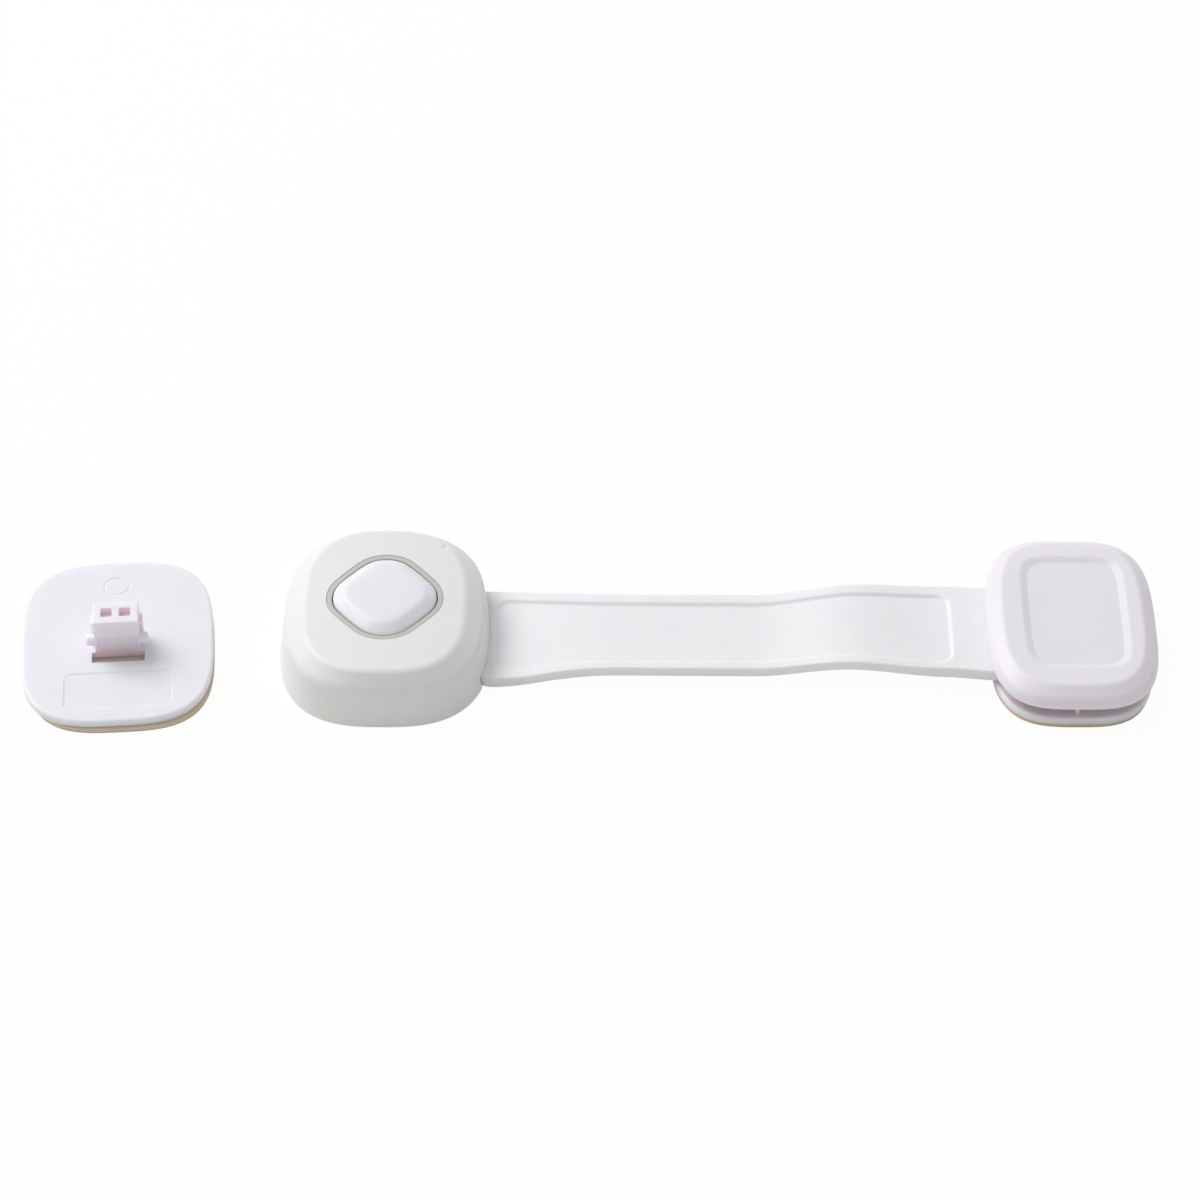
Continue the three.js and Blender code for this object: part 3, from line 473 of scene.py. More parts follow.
def foam(name, first, second):
    finish, tree, shader = new_finish(name)
    cells = add_group(tree, FOAM_CELLS)
    colour = tinted(tree, cells.outputs["Tone"], first, second)
    feed(tree, shader, Base_Color=colour, Roughness=cells.outputs["Roughness"], Specular_IOR_Level=0.25)
    bumped(tree, shader, cells.outputs["Height"], distance=0.00015, strength=0.5)
    return finish


def lined(name, first, second, stretch, roughness, distance, strength, metallic=0.0, **noise):
    """Long fine lines: the fibres of coated paper, or the drawing marks under a zinc plate."""
    finish, tree, shader = new_finish(name)
    drawn = add_node(tree, "ShaderNodeMapping", Vector=object_place(tree), Scale=stretch)
    texture = add_node(tree, "ShaderNodeTexNoise", Vector=drawn.outputs["Vector"], Scale=1.0, **noise)
    lines = texture.outputs["Fac"]
    rough = range_node(tree, lines, (0.2, 0.8), roughness)
    feed(tree, shader, Base_Color=tinted(tree, lines, first, second), Roughness=rough, Metallic=metallic)
    bumped(tree, shader, lines, distance, strength)
    return finish


MOULDED_SKIN = moulded_skin_group()
FOAM_CELLS = foam_cells_group()
HEAD_FINISH = moulded_plastic("head_plastic", (0.815, 0.813, 0.82), (0.835, 0.833, 0.84), 0.46)
COOL_FINISH = moulded_plastic("cool_plastic", (0.86, 0.83, 0.90), (0.88, 0.85, 0.92), 0.42, milky=0.6)
STRAP_FINISH = moulded_plastic(
    "strap_plastic", (0.89, 0.885, 0.915), (0.91, 0.905, 0.935), 0.5, grain=1900, strength=0.1, milky=0.3
)
BEZEL_FINISH = moulded_plastic("bezel_plastic", (0.54, 0.535, 0.49), (0.58, 0.575, 0.53), 0.5)
INNER_FINISH = moulded_plastic("inner_plastic", (0.66, 0.66, 0.66), (0.72, 0.72, 0.72), 0.4)
FOAM_FINISH = foam("pad_foam", (0.60, 0.47, 0.36), (0.78, 0.65, 0.52))
LINER_FINISH = lined(
    "liner_paper", (0.58, 0.47, 0.34), (0.68, 0.57, 0.43), stretch=(260.0, 1400.0, 900.0),
    roughness=(0.5, 0.68), distance=0.00003, strength=0.3, Detail=5.0, Roughness=0.7, Distortion=1.2,
)
STEEL_FINISH = lined(
    "plated_steel", (0.56, 0.57, 0.59), (0.66, 0.67, 0.69), stretch=(3200.0, 3200.0, 300.0),
    roughness=(0.24, 0.42), distance=0.00002, strength=0.2, metallic=1.0, Detail=4.0, Roughness=0.6,
)


# Lock head

HEAD_SQUARENESS = 2.75
HEAD_EDGE, TOP_EDGE = 26.4, 20.1
SHOULDER, HEAD_TOP = 11.0, 15.0
HEAD_LEVELS = ((HEAD_EDGE, 30.2, 0), (24.8, 28.6, SHOULDER), (TOP_EDGE, 25.4, HEAD_TOP))
HEAD_ROUNDS = ((SHOULDER, 1.3, 5), (HEAD_TOP, 0.9, 5), (0, 0.5, 3))
HEAD_HOLLOW = ((24.5, 28.3, BELOW), (23.2, 27.0, 8.4), (19.8, 25.0, 12.4))
CROWN, CROWN_ROWS = 0.8, (-20, 2, 21)
DIMPLE_PLACE, DIMPLE_SHAPE = (14.4, 19.7), 0.75
DIMPLE_LEVELS = ((0.6, 14.7), (1.4, 15.1))
STRAP_ROOT_TOP, STRAP_ROOT_HALF = 3.65, 15.3
RABBET_X, MOUTH_END, MOUTH_ROOM = 20.0, 30, 0.12
ROOT_FLARE = 0.9
BUTTON_BACK = 1.0
BUTTON_BOTTOM, LEG_TOP = 9.2, 10.9
BUTTON_LEVELS = (
    (7.5, BUTTON_BOTTOM), (7.5, 14.45), (7.44, 14.75), (7.26, 14.98), (6.95, 15.2), (6.2, 15.66),
    (5.4, 16.13), (4.95, 16.36), (4.6, 16.5), (4.15, 16.6), (3.4, 16.67), (1.8, 16.74), (0.3, 16.77),
)
BUTTON_HOLLOW = ((5.9, 8), (5.9, 13.6), (4.2, 14.5))
TIP_SPAN, TIP_HALF = (11.3, 15.2), 3
DRIVE_ASIDE = 6
LEG_HALF, LEG_SPAN, LEG_BOTTOM = 1.2, (7.824, 11.904), 6.07
RAMP_Y, RAMP_SLOPE = 9.504, 0.8
BEZEL_RADIUS, BEZEL_TOP = 9.1, 14.9
RECESS = BEZEL_RADIUS + 0.05
OPENING = ((8.9, 8), (8.9, 13.3), (RECESS, 13.31), (RECESS, 14.8), (RECESS + 0.2, 15.2))
BEZEL_LEVELS = ((BEZEL_RADIUS, 13.6), (BEZEL_RADIUS, BEZEL_TOP))
BEZEL_SLEEVE = ((8.55, 11.2), (8.55, 13.9))
BEZEL_BORE = ((7.8, 10), (7.8, 16))
SPRING_WIRE, SPRING_RADIUS = 0.25, 1.9
SPRING_TURNS, SPRING_STEPS, SPRING_LENGTH = 7, 28, 7.8
SPRING_START, SPRING_SEAT, SPRING_HEIGHT = -15.75, -16.0, 4.92
SCREW_CORNERS = 32
SCREW_HEAD = ((1.6, 0.0), (2.0, 0.3), (2.0, 1.0), (1.0, 1.01), (0.85, 1.5))
SCREW_THREAD = ((0.85, 1.55), (1.0, 1.8), (1.0, 1.9), (0.85, 2.15))
SCREW_TURNS, SCREW_PITCH = 9, 0.7
SCREW_TIP = ((0.8, 8.0), (0.2, 9.0))
CROSS_LONG, CROSS_SHORT, CROSS_DEPTH = 1.4, 0.3, 0.6
SCREW_HOLE = 1.3
TONGUE_SCREW_X, TONGUE_SCREW_Y = 16, 9
HEAD_SCREWS = ((-16, 17), (-16, -17), (TONGUE_SCREW_X, TONGUE_SCREW_Y), (TONGUE_SCREW_X, -TONGUE_SCREW_Y))
HEAD_SCREW_SEAT, ANCHOR_SCREW_SEAT = 0.1, 1.3


def diamond_loft(name, levels):
    """A solid of diamonds about the button's centre."""
    return loft(name, [(shifted(diamond(radius), 0, BUTTON_BACK), z) for radius, z in levels])


def curve_top(piece):
    """The head's top falls a little towards its two ends."""
    slice_along_x(piece, *CROWN_ROWS)
    for corner in piece.data.vertices:
        share = min(max((corner.co.z - SHOULDER) / (HEAD_TOP - SHOULDER), 0), 1)
        corner.co.z -= CROWN * share * (corner.co.x / TOP_EDGE) ** 2


def make_head_cover():
    cover = stack("head_cover", HEAD_SQUARENESS, HEAD_LEVELS)
    round_levels(cover, HEAD_ROUNDS)
    cut(cover, stack("hollow", HEAD_SQUARENESS, HEAD_HOLLOW))
    cut(cover, diamond_loft("opening", OPENING))
    dimple = []
    for wide, z in DIMPLE_LEVELS:
        dimple.append((shifted(oval(wide, DIMPLE_SHAPE * wide, ROUND, 32), *DIMPLE_PLACE), z))
    cut(cover, loft("dimple", dimple))
    mouth = STRAP_ROOT_HALF + MOUTH_ROOM
    mouth_heights = (BELOW, STRAP_ROOT_TOP + MOUTH_ROOM)
    cut(cover, block((RABBET_X, MOUTH_END), (-mouth - ROOT_FLARE, mouth), mouth_heights))
    curve_top(cover)
    settle(cover, HEAD_PLACE)
    fit(cover, "lock_head", "head_plastic", HEAD_FINISH, "head_shell")


def make_button():
    """A soft pillow of a button: skirt, rounded slope and a faintly domed facet, with tips and legs."""
    button = diamond_loft("push_button", BUTTON_LEVELS)
    cut(button, diamond_loft("hollow", BUTTON_HOLLOW))
    tip_depth = (BUTTON_BACK - TIP_HALF, BUTTON_BACK + TIP_HALF)
    for side in SIDES:
        weld(button, block(mirrored(TIP_SPAN, side), tip_depth, (BUTTON_BOTTOM, LEG_TOP)))
        weld(button, ramped_leg(side * DRIVE_ASIDE))
    settle(button, HEAD_PLACE)
    fit(button, "push_button", "cool_plastic", COOL_FINISH, "button")


def ramped_leg(x):
    """One leg under the button, with the slope that drives the slide back."""
    leg = block((x - LEG_HALF, x + LEG_HALF), LEG_SPAN, (LEG_BOTTOM, LEG_TOP))
    work_on(leg)
    bpy.ops.mesh.select_all(action="SELECT")
    bpy.ops.mesh.bisect(
        plane_co=(x, RAMP_Y, LEG_BOTTOM), plane_no=(0, -1, -RAMP_SLOPE), clear_outer=True, use_fill=True
    )
    release()
    return leg


def make_bezel():
    bezel = diamond_loft("button_ring", BEZEL_LEVELS)
    weld(bezel, diamond_loft("sleeve", BEZEL_SLEEVE))
    cut(bezel, diamond_loft("bore", BEZEL_BORE))
    work_on(bezel)
    round_levels(bezel, [(BEZEL_TOP, 0.22, 3)])
    release()
    curve_top(bezel)
    settle(bezel, HEAD_PLACE)
    fit(bezel, "lock_head", "bezel_plastic", BEZEL_FINISH, "button_bezel")


def make_spring(side):
    """A wound wire between the cover's seat and the slide, squeezed as the slide goes back."""
    hand = "left" if side < 0 else "right"
    aside = side * DRIVE_ASIDE
    release()
    bpy.ops.mesh.primitive_circle_add(
        vertices=12, radius=SPRING_WIRE, fill_type="NOTHING", location=(SPRING_RADIUS, 0, 0)
    )
    spring = bpy.context.active_object
    spring.name = f"slide_spring_{hand}"
    apply_transform()
    apply_modifier(
        spring, "SCREW", axis="Y", iterations=SPRING_TURNS, steps=SPRING_STEPS, render_steps=SPRING_STEPS,
        screw_offset=SPRING_LENGTH / SPRING_TURNS, use_smooth_shade=True,
    )
    work_on(spring)
    bpy.ops.mesh.select_all(action="SELECT")
    bpy.ops.mesh.fill_holes(sides=0)
    face_outwards()
    bpy.ops.transform.translate(value=(aside, SPRING_START, SPRING_HEIGHT))
    release()
    settle(spring, HEAD_PLACE, angle=60)
    fit(spring, "lock_head", "steel", STEEL_FINISH, f"latch_spring_{hand}")
    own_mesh(spring)


def make_screw(node, body, place, seat):
    """A self-tapping screw, head down, with a cross recess."""
    rings = list(SCREW_HEAD)
    for turn in range(SCREW_TURNS):
        rings += [(radius, z + SCREW_PITCH * turn) for radius, z in SCREW_THREAD]
    rings += SCREW_TIP
    outlines = [(oval(radius, radius, ROUND, SCREW_CORNERS), seat + z) for radius, z in rings]
    screw = loft(f"tapping_{node}", outlines)
    for x, y in ((CROSS_LONG, CROSS_SHORT), (CROSS_SHORT, CROSS_LONG)):
        cut(screw, block((-x, x), (-y, y), (seat + BELOW, seat + CROSS_DEPTH)))
    settle(screw, place)
    fit(screw, body, "steel", STEEL_FINISH, node)


# Strap, along X from the head's centre; a span tells where along X a change takes place

STRAP_REACH, STRAP_END_HALF = 171.0, 15.1
EYE_START = STRAP_REACH - STRAP_END_HALF
EYE_RADIUS = 8.3
STRAP_THICKNESS, STRAP_ROWS = 3.3, (29, 1.75, 64)
STRAP_ROUNDS = ((STRAP_THICKNESS, 0.5, 4), (0, 0.35, 3))
STRAP_STEPS, EYE_STEPS = 60, 48
STRAP_LIFT = 0.35
FLAT_START = 138.65
RISE, RISE_SPAN = 1.35, (HEAD_EDGE, 57)
SWELL, SWELL_SPAN = 3.2, (91.7, 117)
FALL, FALL_SPAN = -1.4, (117, FLAT_START)
WAIST, WAIST_SPAN = -2.1, (26.1, 57)
WIDENING, WIDENING_SPAN = 1.9, (92, 152.92)
FRONT_SWELL, FRONT_SWELL_SPANS = 0.5, ((27, 36), (128, 142))
ROOT_FLARE_SPANS = ((23, HEAD_EDGE), (28, 46))
ANCHOR_FORWARD = 1.1
TONGUE_BOTTOM = 2.5
ROOT_STATIONS = (13.4, 23, 24.5)
TONGUE_CUT = ((10, RABBET_X), (-20, 20), (BELOW, TONGUE_BOTTOM - STRAP_LIFT))
THROUGH_STRAP = (BELOW, 6)
RIM_BACK, RIM_FRONT = 3.2, 2.1
STRAP_PANEL, STRAP_PANEL_CORNER = (27.1, 141.4), 3.8
PANEL_STEPS, PANEL_CORNER_STEPS, PANEL_CORNER_GAP = 40, 8, 0.02
# Each step is (how far inside the panel's outline, how deep).
STRAP_DIP = (
    (1.05, 0.7), (0.8, 0.68), (0.5, 0.55), (0.3, 0.36),
    (0.1, 0.14), (-0.15, 0.03), (-0.45, -0.02), (-0.5, -1.0),
)


def strap_bottom(x):
    """Height of the strap's underside: it rises from the head, swells and dips to the anchor."""
    rise = RISE * smooth_step(*RISE_SPAN, x)
    swell = SWELL * smooth_step(*SWELL_SPAN, x)
    fall = FALL * smooth_step(*FALL_SPAN, x)
    return STRAP_LIFT + rise + swell + fall


def strap_half(x):
    waist = WAIST * smooth_step(*WAIST_SPAN, x)
    return STRAP_ROOT_HALF + waist + WIDENING * smooth_step(*WIDENING_SPAN, x)


def strap_sway(x):
    return -ANCHOR_FORWARD * smooth_step(FLAT_START, EYE_START, x)


def front_swell(x):
    """Between its ends the strap is a little wider to the front, and thinner by as much."""
    return FRONT_SWELL * there_and_back(FRONT_SWELL_SPANS, x)


def root_flare(x):
    """The strap's front edge spreads a little where it meets the head."""
    return ROOT_FLARE * there_and_back(ROOT_FLARE_SPANS, x)


def strap_outline():
    stations = list(ROOT_STATIONS)
    stations += [HEAD_EDGE + (EYE_START - HEAD_EDGE) * i / STRAP_STEPS for i in range(STRAP_STEPS + 1)]
    front = [(x, strap_sway(x) - strap_half(x) - front_swell(x) - root_flare(x)) for x in stations]
    eye = []
    for step in range(1, EYE_STEPS):
        angle = math.pi * (step / EYE_STEPS - 0.5)
        arm_x, arm_y = STRAP_END_HALF * math.cos(angle), STRAP_END_HALF * math.sin(angle)
        eye.append((STRAP_REACH + arm_x, arm_y - ANCHOR_FORWARD))
    back = [(x, strap_sway(x) + strap_half(x)) for x in reversed(stations)]
    return front + eye + back


def panel_outline(inset):
    """The sunken panel's rounded outline inside the strap's rim."""
    start, end = STRAP_PANEL[0] + inset, STRAP_PANEL[1] - inset
    corner = STRAP_PANEL_CORNER - inset
    turns = [math.pi / 2 * i / PANEL_CORNER_STEPS for i in range(PANEL_CORNER_STEPS + 1)]
    steps = [corner * (1 - math.cos(turn)) for turn in turns]
    inner = [start + corner + (end - start - 2 * corner) * i / PANEL_STEPS for i in range(1, PANEL_STEPS)]
    along = [start + d for d in steps] + inner + [end - d for d in reversed(steps)]

    def half(x, rim):
        from_end = min(x - start, end - x, corner)
        arc = math.sqrt(max(corner ** 2 - (corner - from_end) ** 2, 0))
        return strap_half(x) - rim - inset - corner + max(arc, PANEL_CORNER_GAP)

    front = [(x, -half(x, RIM_FRONT)) for x in along]
    return front + [(x, half(x, RIM_BACK)) for x in reversed(along)]


def make_strap():
    strap = loft("strap", [(strap_outline(), 0), (strap_outline(), STRAP_THICKNESS)])
    round_levels(strap, STRAP_ROUNDS)
    panel = [(panel_outline(inset), STRAP_THICKNESS - depth) for inset, depth in STRAP_DIP]
    cut(strap, loft("panel", panel))
    cut(strap, block(*TONGUE_CUT))
    cut(strap, rod(EYE_RADIUS, (STRAP_REACH, -ANCHOR_FORWARD), THROUGH_STRAP, 96))
    for side in SIDES:
        cut(strap, rod(SCREW_HOLE, (TONGUE_SCREW_X, side * TONGUE_SCREW_Y), THROUGH_STRAP, 32))
    slice_along_x(strap, *STRAP_ROWS)
    for corner in strap.data.vertices:
        thinner = front_swell(corner.co.x) if corner.co.z < STRAP_THICKNESS / 2 else 0
        corner.co.z += strap_bottom(corner.co.x) + thinner
    settle(strap, HEAD_PLACE)
    wear(strap, STRAP_FINISH)
    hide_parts("strap_head_end", "strap_flex_middle", "strap_anchor_end")
    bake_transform(strap)


# Adhesive layers

LAYER_SQUARENESS = 3.2
LAYER_INSET = 0.3
LINER_TOP, LINER_EDGE = 0.25, 0.04
PAD_TOP, PAD_EDGE = 1.2, 0.12


def make_layer(name, half, low, high, edge):
    wide, deep = half[0] - LAYER_INSET, half[1] - LAYER_INSET
    layer = stack(name, LAYER_SQUARENESS, [(wide, deep, low), (wide, deep, high)])
    round_levels(layer, [(low, edge, 2), (high, edge, 2)])
    return layer


def make_adhesive(side, half, place, turn):
    """A foam pad and the peel-off paper under it."""
    pad = settle(make_layer(f"{side}_foam", half, LINER_TOP, PAD_TOP, PAD_EDGE), place, turn)
    fit(pad, side, "pad_foam", FOAM_FINISH, f"{side}_pad")
    liner = settle(make_layer(f"{side}_backing", half, 0.0, LINER_TOP, LINER_EDGE), place, turn)
    fit(liner, side, "liner_paper", LINER_FINISH, f"{side}_liner")


# Anchor

CAP_SQUARENESS = 3.35
CAP_BOTTOM, CAP_WIDEST, CAP_SHOULDER, CAP_TOP = 7.2, 8.4, 10.8, 13.0
CAP_EDGE_HALF = (20.55, 28.55)
CAP_LEVELS = (
    (*CAP_EDGE_HALF, CAP_BOTTOM), (21.25, 29.25, CAP_WIDEST),
    (*CAP_EDGE_HALF, CAP_SHOULDER), (17.45, 25.45, CAP_TOP),
)
CAP_ROUNDS = ((CAP_WIDEST, 0.9, 5), (CAP_SHOULDER, 0.8, 5), (CAP_TOP, 0.6, 5), (CAP_BOTTOM, 0.3, 3))
CAP_HOLLOW = ((18.6, 26.6, 6), (18.2, 26.2, 8.4), (15.9, 23.9, 10.6))
CAP_PANEL_HALF, CAP_PANEL_SLOPE = (13.2, 20.0), (2.0, 1.8)
CAP_PANEL_PLACE, CAP_PANEL_SQUARENESS = (0.8, 0.6), 6
# Each step is (share of the slope, how deep).
CAP_DIP = (
    (1, 0.8), (0.93, 0.77), (0.8, 0.65), (0.2, 0.14),
    (0.05, 0.04), (-0.08, 0), (-0.16, -0.03), (-0.2, -1),
)
MIDDLE = (0, 0)
BOSS_RADIUS = 8.0
CAP_BOSS = (CAP_BOTTOM, 11.5)
FOOT_HALF, FOOT_TOP = (20.3, 27.7), 3.2
FOOT_ROUNDS = ((FOOT_TOP, 0.9, 5), (PAD_TOP, 0.3, 3))
FOOT_BOSS = (2.2, 6.9)
RIB_HALF, RIB_SPAN = 0.5, (21.54, 25.8)
THROUGH_FOOT = (0, 8)
SCREW_HEAD_HOLE, SCREW_HEAD_HEIGHTS = 2.3, (0, 2.6)
# Heights over which the foot turns to the painted shade of the gap under the cap.
GAP_SPAN = (2.9, FOOT_TOP)


def make_anchor_cap():
    cap = stack("anchor_cover", CAP_SQUARENESS, CAP_LEVELS)
    round_levels(cap, CAP_ROUNDS)
    panel = []
    for share, sink in CAP_DIP:
        wide, deep = (half - share * slope for half, slope in zip(CAP_PANEL_HALF, CAP_PANEL_SLOPE))
        outline = oval(wide, deep, CAP_PANEL_SQUARENESS)
        panel.append((shifted(outline, *CAP_PANEL_PLACE), CAP_TOP - sink))
    cut(cap, loft("panel", panel))
    cut(cap, stack("hollow", CAP_SQUARENESS, CAP_HOLLOW))
    weld(cap, rod(BOSS_RADIUS, MIDDLE, CAP_BOSS, 96))
    settle(cap, ANCHOR_PLACE)
    fit(cap, "anchor", "cool_plastic", COOL_FINISH, "anchor_cap")


def make_anchor_base():
    """The plate under the gap, with the boss that the strap's eye turns on and two stop ribs."""
    base = stack("anchor_foot", LAYER_SQUARENESS, [(*FOOT_HALF, PAD_TOP), (*FOOT_HALF, FOOT_TOP)])
    round_levels(base, FOOT_ROUNDS)
    weld(base, rod(BOSS_RADIUS, MIDDLE, FOOT_BOSS, 96))
    for side in SIDES:
        weld(base, block((-RIB_HALF, RIB_HALF), mirrored(RIB_SPAN, side), FOOT_BOSS))
    cut(base, rod(SCREW_HOLE, MIDDLE, THROUGH_FOOT, 32))
    cut(base, rod(SCREW_HEAD_HOLE, MIDDLE, SCREW_HEAD_HEIGHTS, 48))
    # Painted shade: the foot's top, boss and ribs in the gap under the cap take the pinkish shade colour.
    mark_painted_shade(base, lambda co: smooth_step(*GAP_SPAN, co.z))
    settle(base, ANCHOR_PLACE)
    fit(base, "anchor", "cool_plastic", COOL_FINISH, "anchor_base")


# Catch plate, about its post; heights on the post are over the plate's top

CATCH_PAD_HALF = (23.5, 28.45)
PLATE_HALF, PLATE_TOP = (23.95, 28.65), 3.3
PLATE_ROUNDS = ((PLATE_TOP, 0.8, 5), (PAD_TOP, 0.25, 3))
PLATE_ASIDE, PLATE_FORWARD = 0.45, 0.2
POST_ASIDE, POST_FORWARD = 0.8, 1.95
PAD_ASIDE, PAD_FORWARD = 1.35, 1.45
POST_HALF, POST_ROOT, POST_HEIGHT = 5.65, 1.75, 11
POST_FRONT, POST_NECK, POST_BACK = -3.56, -2.76, 4.04
LIP = PLATE_TOP + 6.07
LIP_SLOPE = 0.35
UNDER_LIP = ((-8, 8), (-6, POST_NECK), (0, LIP))
POCKET_X, POCKET_Y = 2.3, 0.24
POCKET_SQUARENESS, POCKET_CORNERS = 8, 48
POCKET_LEVELS = ((1.35, 1.45, 9.2), (1.35, 1.45, 10.8), (1.6, 1.7, 11.2))
EAR_WIDTH, EAR_DEPTH, EAR_ROOT, EAR_HEIGHT = (4.85, 6.45), (0.0, 3.24), 2.25, 7.57
PIN_RADIUS, PIN_LENGTH, PIN_EDGE = 1.5, 2.8, 0.55
PIN_ASIDE, PIN_Y, PIN_HEIGHT = 6.25, -1.8, 3.8
PIN_END = PIN_ASIDE + PIN_LENGTH / 2
SLOT_HALF, SLOT_FRONT, SLOT_BACK = 6.55, POST_NECK - 3.3, POST_NECK + 0.3
PANEL_FORWARD, PANEL_SQUARENESS, PANEL_CORNERS = 15.75, 16, 192
PANEL_LEVELS = ((13.0, 5.75, -0.3), (13.3, 6.05, -0.16), (13.7, 6.45, 0.12), (13.7, 6.45, 1.0))
RING_RADIUS, GROOVE_RADIUS, RING_PLACE = 3.1, 0.5, (-0.5, 21.3, PLATE_TOP + 0.32)
# How strongly and where the plate gets painted shade: in the pockets, and down the post's neck and the slot
# walls.
POCKET_PAINTED_SHADE, POCKET_REACH, POCKET_HEIGHTS = 0.55, (1.5, 1.6), (8, 10.9)
NECK_SPAN = (PLATE_TOP - 0.2, LIP - 1)


def make_post():
    """The hook post: a lip over the slot, two pockets in its top, two pins and two ears."""
    post = block((-POST_HALF, POST_HALF), (POST_FRONT, POST_BACK), (POST_ROOT, PLATE_TOP + POST_HEIGHT))
    under_lip = block(*UNDER_LIP)
    work_on(under_lip)
    pick_edges(under_lip, lambda co: co.z > LIP / 2 and co.y > POST_FRONT)
    bpy.ops.transform.translate(value=(0, 0, -LIP_SLOPE))
    cut(post, under_lip)
    soften(post, 0.3, 3, 25)
    for side in SIDES:
        pocket = []
        for wide, deep, z in POCKET_LEVELS:
            outline = oval(wide, deep, POCKET_SQUARENESS, POCKET_CORNERS)
            pocket.append((shifted(outline, side * POCKET_X, POCKET_Y), PLATE_TOP + z))
        cut(post, loft("pocket", pocket))
        weld(post, make_pin(side))
        ear = block(mirrored(EAR_WIDTH, side), EAR_DEPTH, (EAR_ROOT, PLATE_TOP + EAR_HEIGHT))
        soften(ear, 0.2, 2, 40)
        weld(post, ear)
    return post


def make_pin(side):
    release()
    bpy.ops.mesh.primitive_cylinder_add(
        vertices=48, radius=PIN_RADIUS, depth=PIN_LENGTH, rotation=(0, math.pi / 2, 0)
    )
    pin = bpy.context.active_object
    pin.location = (side * PIN_ASIDE, PIN_Y, PLATE_TOP + PIN_HEIGHT)
    apply_transform()
    work_on(pin)
    round_edges(pin, lambda co: abs(co.x - side * PIN_END) < NEAR, PIN_EDGE, 4)
    release()
    return pin


def front_panel():
    """The shallow panel in front of the post, with sloped sides."""
    outlines = []
    for wide, deep, z in PANEL_LEVELS:
        outline = oval(wide, deep, PANEL_SQUARENESS, PANEL_CORNERS)
        outlines.append((shifted(outline, 0, -PANEL_FORWARD), PLATE_TOP + z))
    return loft("panel", outlines)


def ring_groove():
    """The round of a shallow ring behind the post."""
    release()
    bpy.ops.mesh.primitive_torus_add(
        major_radius=RING_RADIUS, minor_radius=GROOVE_RADIUS, major_segments=64, minor_segments=24,
        location=RING_PLACE,
    )
    apply_transform()
    return bpy.context.active_object


def plate_painted_shade(co):
    """How much painted shade a corner gets: deep in the pockets and the slot, and down the front of the
    post's neck.
    """
    low, high = POCKET_HEIGHTS
    in_pocket = abs(abs(co.x) - POCKET_X) < POCKET_REACH[0] and abs(co.y - POCKET_Y) < POCKET_REACH[1]
    if in_pocket and low < co.z - PLATE_TOP < high:
        return POCKET_PAINTED_SHADE
    in_slot = abs(co.x) < SLOT_HALF + 0.05 and SLOT_FRONT - 0.1 < co.y < SLOT_BACK + 0.1
    if in_slot and abs(co.z - PLATE_TOP) > 0.01:
        return 1 - smooth_step(*NECK_SPAN, co.z)
    return 0.0


def make_catch_plate():
    middle = (PLATE_ASIDE - POST_ASIDE, POST_FORWARD - PLATE_FORWARD)
    outline = shifted(oval(*PLATE_HALF, LAYER_SQUARENESS), *middle)
    plate = loft("catch_foot", [(outline, PAD_TOP), (outline, PLATE_TOP)])
    round_levels(plate, PLATE_ROUNDS)
    cut(plate, block((-SLOT_HALF, SLOT_HALF), (SLOT_FRONT, SLOT_BACK), (0, 5)))
    cut(plate, front_panel())
    cut(plate, ring_groove())
    weld(plate, make_post())
    # Painted shade: the pockets, the slot and the post's neck under the lip take the pinkish shade colour.
    mark_painted_shade(plate, plate_painted_shade)
    settle(plate, beside(CATCH_PLACE, CATCH_TURN, POST_ASIDE, -POST_FORWARD), CATCH_TURN)
    fit(plate, "catch", "cool_plastic", COOL_FINISH, "catch_plate")


def clothe_inner_pieces():
    """The cover under the head and the slide inside it keep their shape and get their finish."""
    for name, finish in (("head_base", HEAD_FINISH), ("latch_slide", INNER_FINISH)):
        wear(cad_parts[name], finish)


make_head_cover()
make_button()
make_bezel()
make_strap()
make_anchor_cap()
make_anchor_base()
make_adhesive("anchor", FOOT_HALF, ANCHOR_PLACE, 0)
make_adhesive("catch", CATCH_PAD_HALF, beside(CATCH_PLACE, CATCH_TURN, PAD_ASIDE, -PAD_FORWARD), CATCH_TURN)
make_catch_plate()
for side in SIDES:
    make_spring(side)
for number, (x, y) in enumerate(HEAD_SCREWS, 1):
    make_screw(f"head_screw_{number}", "lock_head", (HEAD_PLACE[0] + x, HEAD_PLACE[1] + y), HEAD_SCREW_SEAT)
make_screw("anchor_screw", "anchor", ANCHOR_PLACE, ANCHOR_SCREW_SEAT)
clothe_inner_pieces()


# Stage, light and camera, in metres

WHITE = (1, 1, 1, 1)
FLOOR_SIZE, FLOOR_HEIGHT, FLOOR_TONE, FLOOR_GLOW = 12, -0.0001, (0.95, 0.93, 0.87, 1), 0.96
LAMP_SIZE, LAMP_ENERGY = 1.15, 18.5
LAMP_WAY, LAMP_DISTANCE = (-0.58, 0.41, 0.70), 1.7
CAMERA_PITCH, CAMERA_ROLL, CAMERA_DISTANCE = math.radians(43.49), math.radians(0.34), 1.06737
CAMERA_AIM = (0.003234, 0.017215, 0)


def ray_share(tree):
    """1 for what the camera, a reflection or a clear piece sees, 0 for light that falls on the object."""
    path = tree.nodes.new("ShaderNodeLightPath")
    seen = math_node(tree, "MAXIMUM", path.outputs["Is Camera Ray"], path.outputs["Is Glossy Ray"])
    return math_node(tree, "MAXIMUM", seen, path.outputs["Is Transmission Ray"])


def mixed(tree, factor, first, second):
    """The first shader where the factor is 0, the second where it is 1."""
    mix = tree.nodes.new("ShaderNodeMixShader")
    for socket, source in zip(mix.inputs, (factor, first, second)):
        set_socket(tree, socket, source)
    return mix.outputs[0]


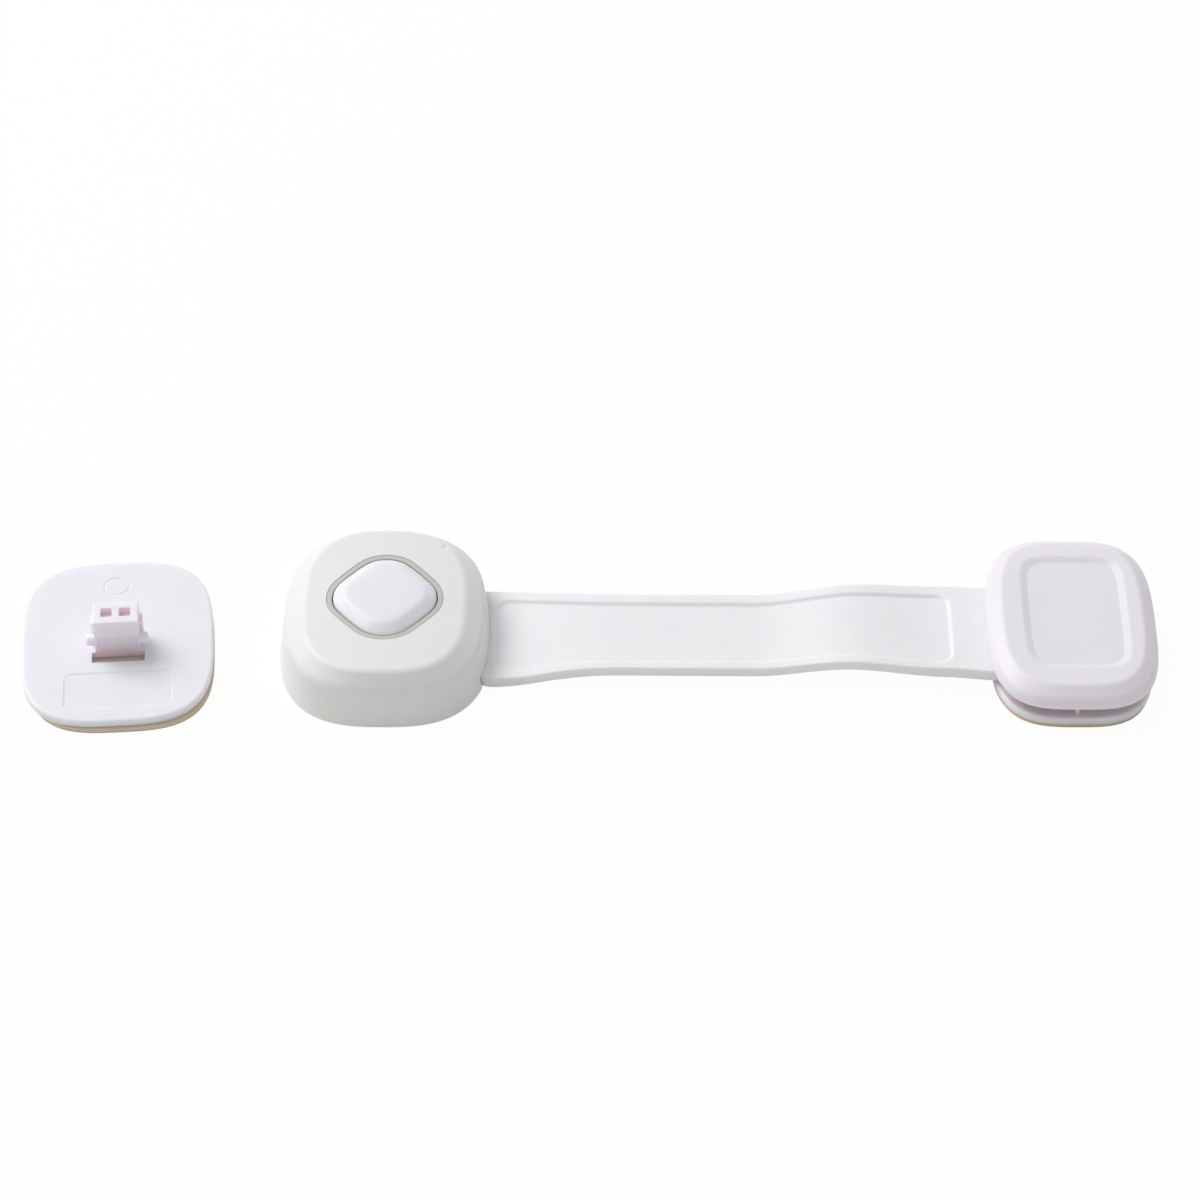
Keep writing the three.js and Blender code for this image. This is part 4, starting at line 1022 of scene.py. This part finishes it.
def make_floor():
    """A white floor that takes the shadows and can be seen through from below."""
    release()
    bpy.ops.mesh.primitive_plane_add(size=FLOOR_SIZE, location=(0, 0, FLOOR_HEIGHT))
    floor = bpy.context.active_object
    floor.name = "floor"
    finish = bpy.data.materials.new("floor_white")
    finish.use_nodes = True
    tree = finish.node_tree
    tree.nodes.clear()
    paper = add_node(tree, "ShaderNodeBsdfDiffuse", Color=FLOOR_TONE)
    glow = add_node(tree, "ShaderNodeEmission", Color=WHITE, Strength=1.0)
    share = math_node(tree, "MULTIPLY", ray_share(tree), FLOOR_GLOW)
    lit = mixed(tree, share, paper.outputs[0], glow.outputs[0])
    behind = tree.nodes.new("ShaderNodeNewGeometry").outputs["Backfacing"]
    clear = tree.nodes.new("ShaderNodeBsdfTransparent").outputs[0]
    add_node(tree, "ShaderNodeOutputMaterial", Surface=mixed(tree, behind, lit, clear))
    floor.data.materials.append(finish)


def make_light():
    """A soft white room and one large lamp from the left behind."""
    world = bpy.data.worlds.new("studio")
    bpy.context.scene.world = world
    world.use_nodes = True
    tree = world.node_tree
    tree.nodes.clear()
    soft = add_node(tree, "ShaderNodeBackground", Color=WHITE, Strength=0.5)
    white = add_node(tree, "ShaderNodeBackground", Color=WHITE, Strength=1.0)
    room = mixed(tree, ray_share(tree), soft.outputs[0], white.outputs[0])
    add_node(tree, "ShaderNodeOutputWorld", Surface=room)
    lamp = bpy.data.lights.new("soft_key", "AREA")
    lamp.shape = "DISK"
    lamp.size = LAMP_SIZE
    lamp.energy = LAMP_ENERGY
    key = bpy.data.objects.new("soft_key", lamp)
    bpy.context.scene.collection.objects.link(key)
    towards = Vector(LAMP_WAY).normalized()
    key.location = LAMP_DISTANCE * towards
    key.rotation_euler = towards.to_track_quat("Z", "Y").to_euler()


def make_camera():
    lens = bpy.data.cameras.new("photo_camera")
    lens.sensor_width = 36
    lens.lens = 126.2
    lens.clip_start, lens.clip_end = 0.01, 100
    camera = bpy.data.objects.new("photo_camera", lens)
    bpy.context.scene.collection.objects.link(camera)
    away = Vector((0, -math.cos(CAMERA_PITCH), math.sin(CAMERA_PITCH)))
    stand = Vector(CAMERA_AIM) + CAMERA_DISTANCE * away
    tilt = Matrix.Rotation(math.pi / 2 - CAMERA_PITCH, 4, "X") @ Matrix.Rotation(CAMERA_ROLL, 4, "Z")
    camera.matrix_world = Matrix.Translation(stand) @ tilt
    bpy.context.scene.camera = camera


make_floor()
make_light()
make_camera()
release()
bpy.context.scene.view_settings.view_transform = "Standard"
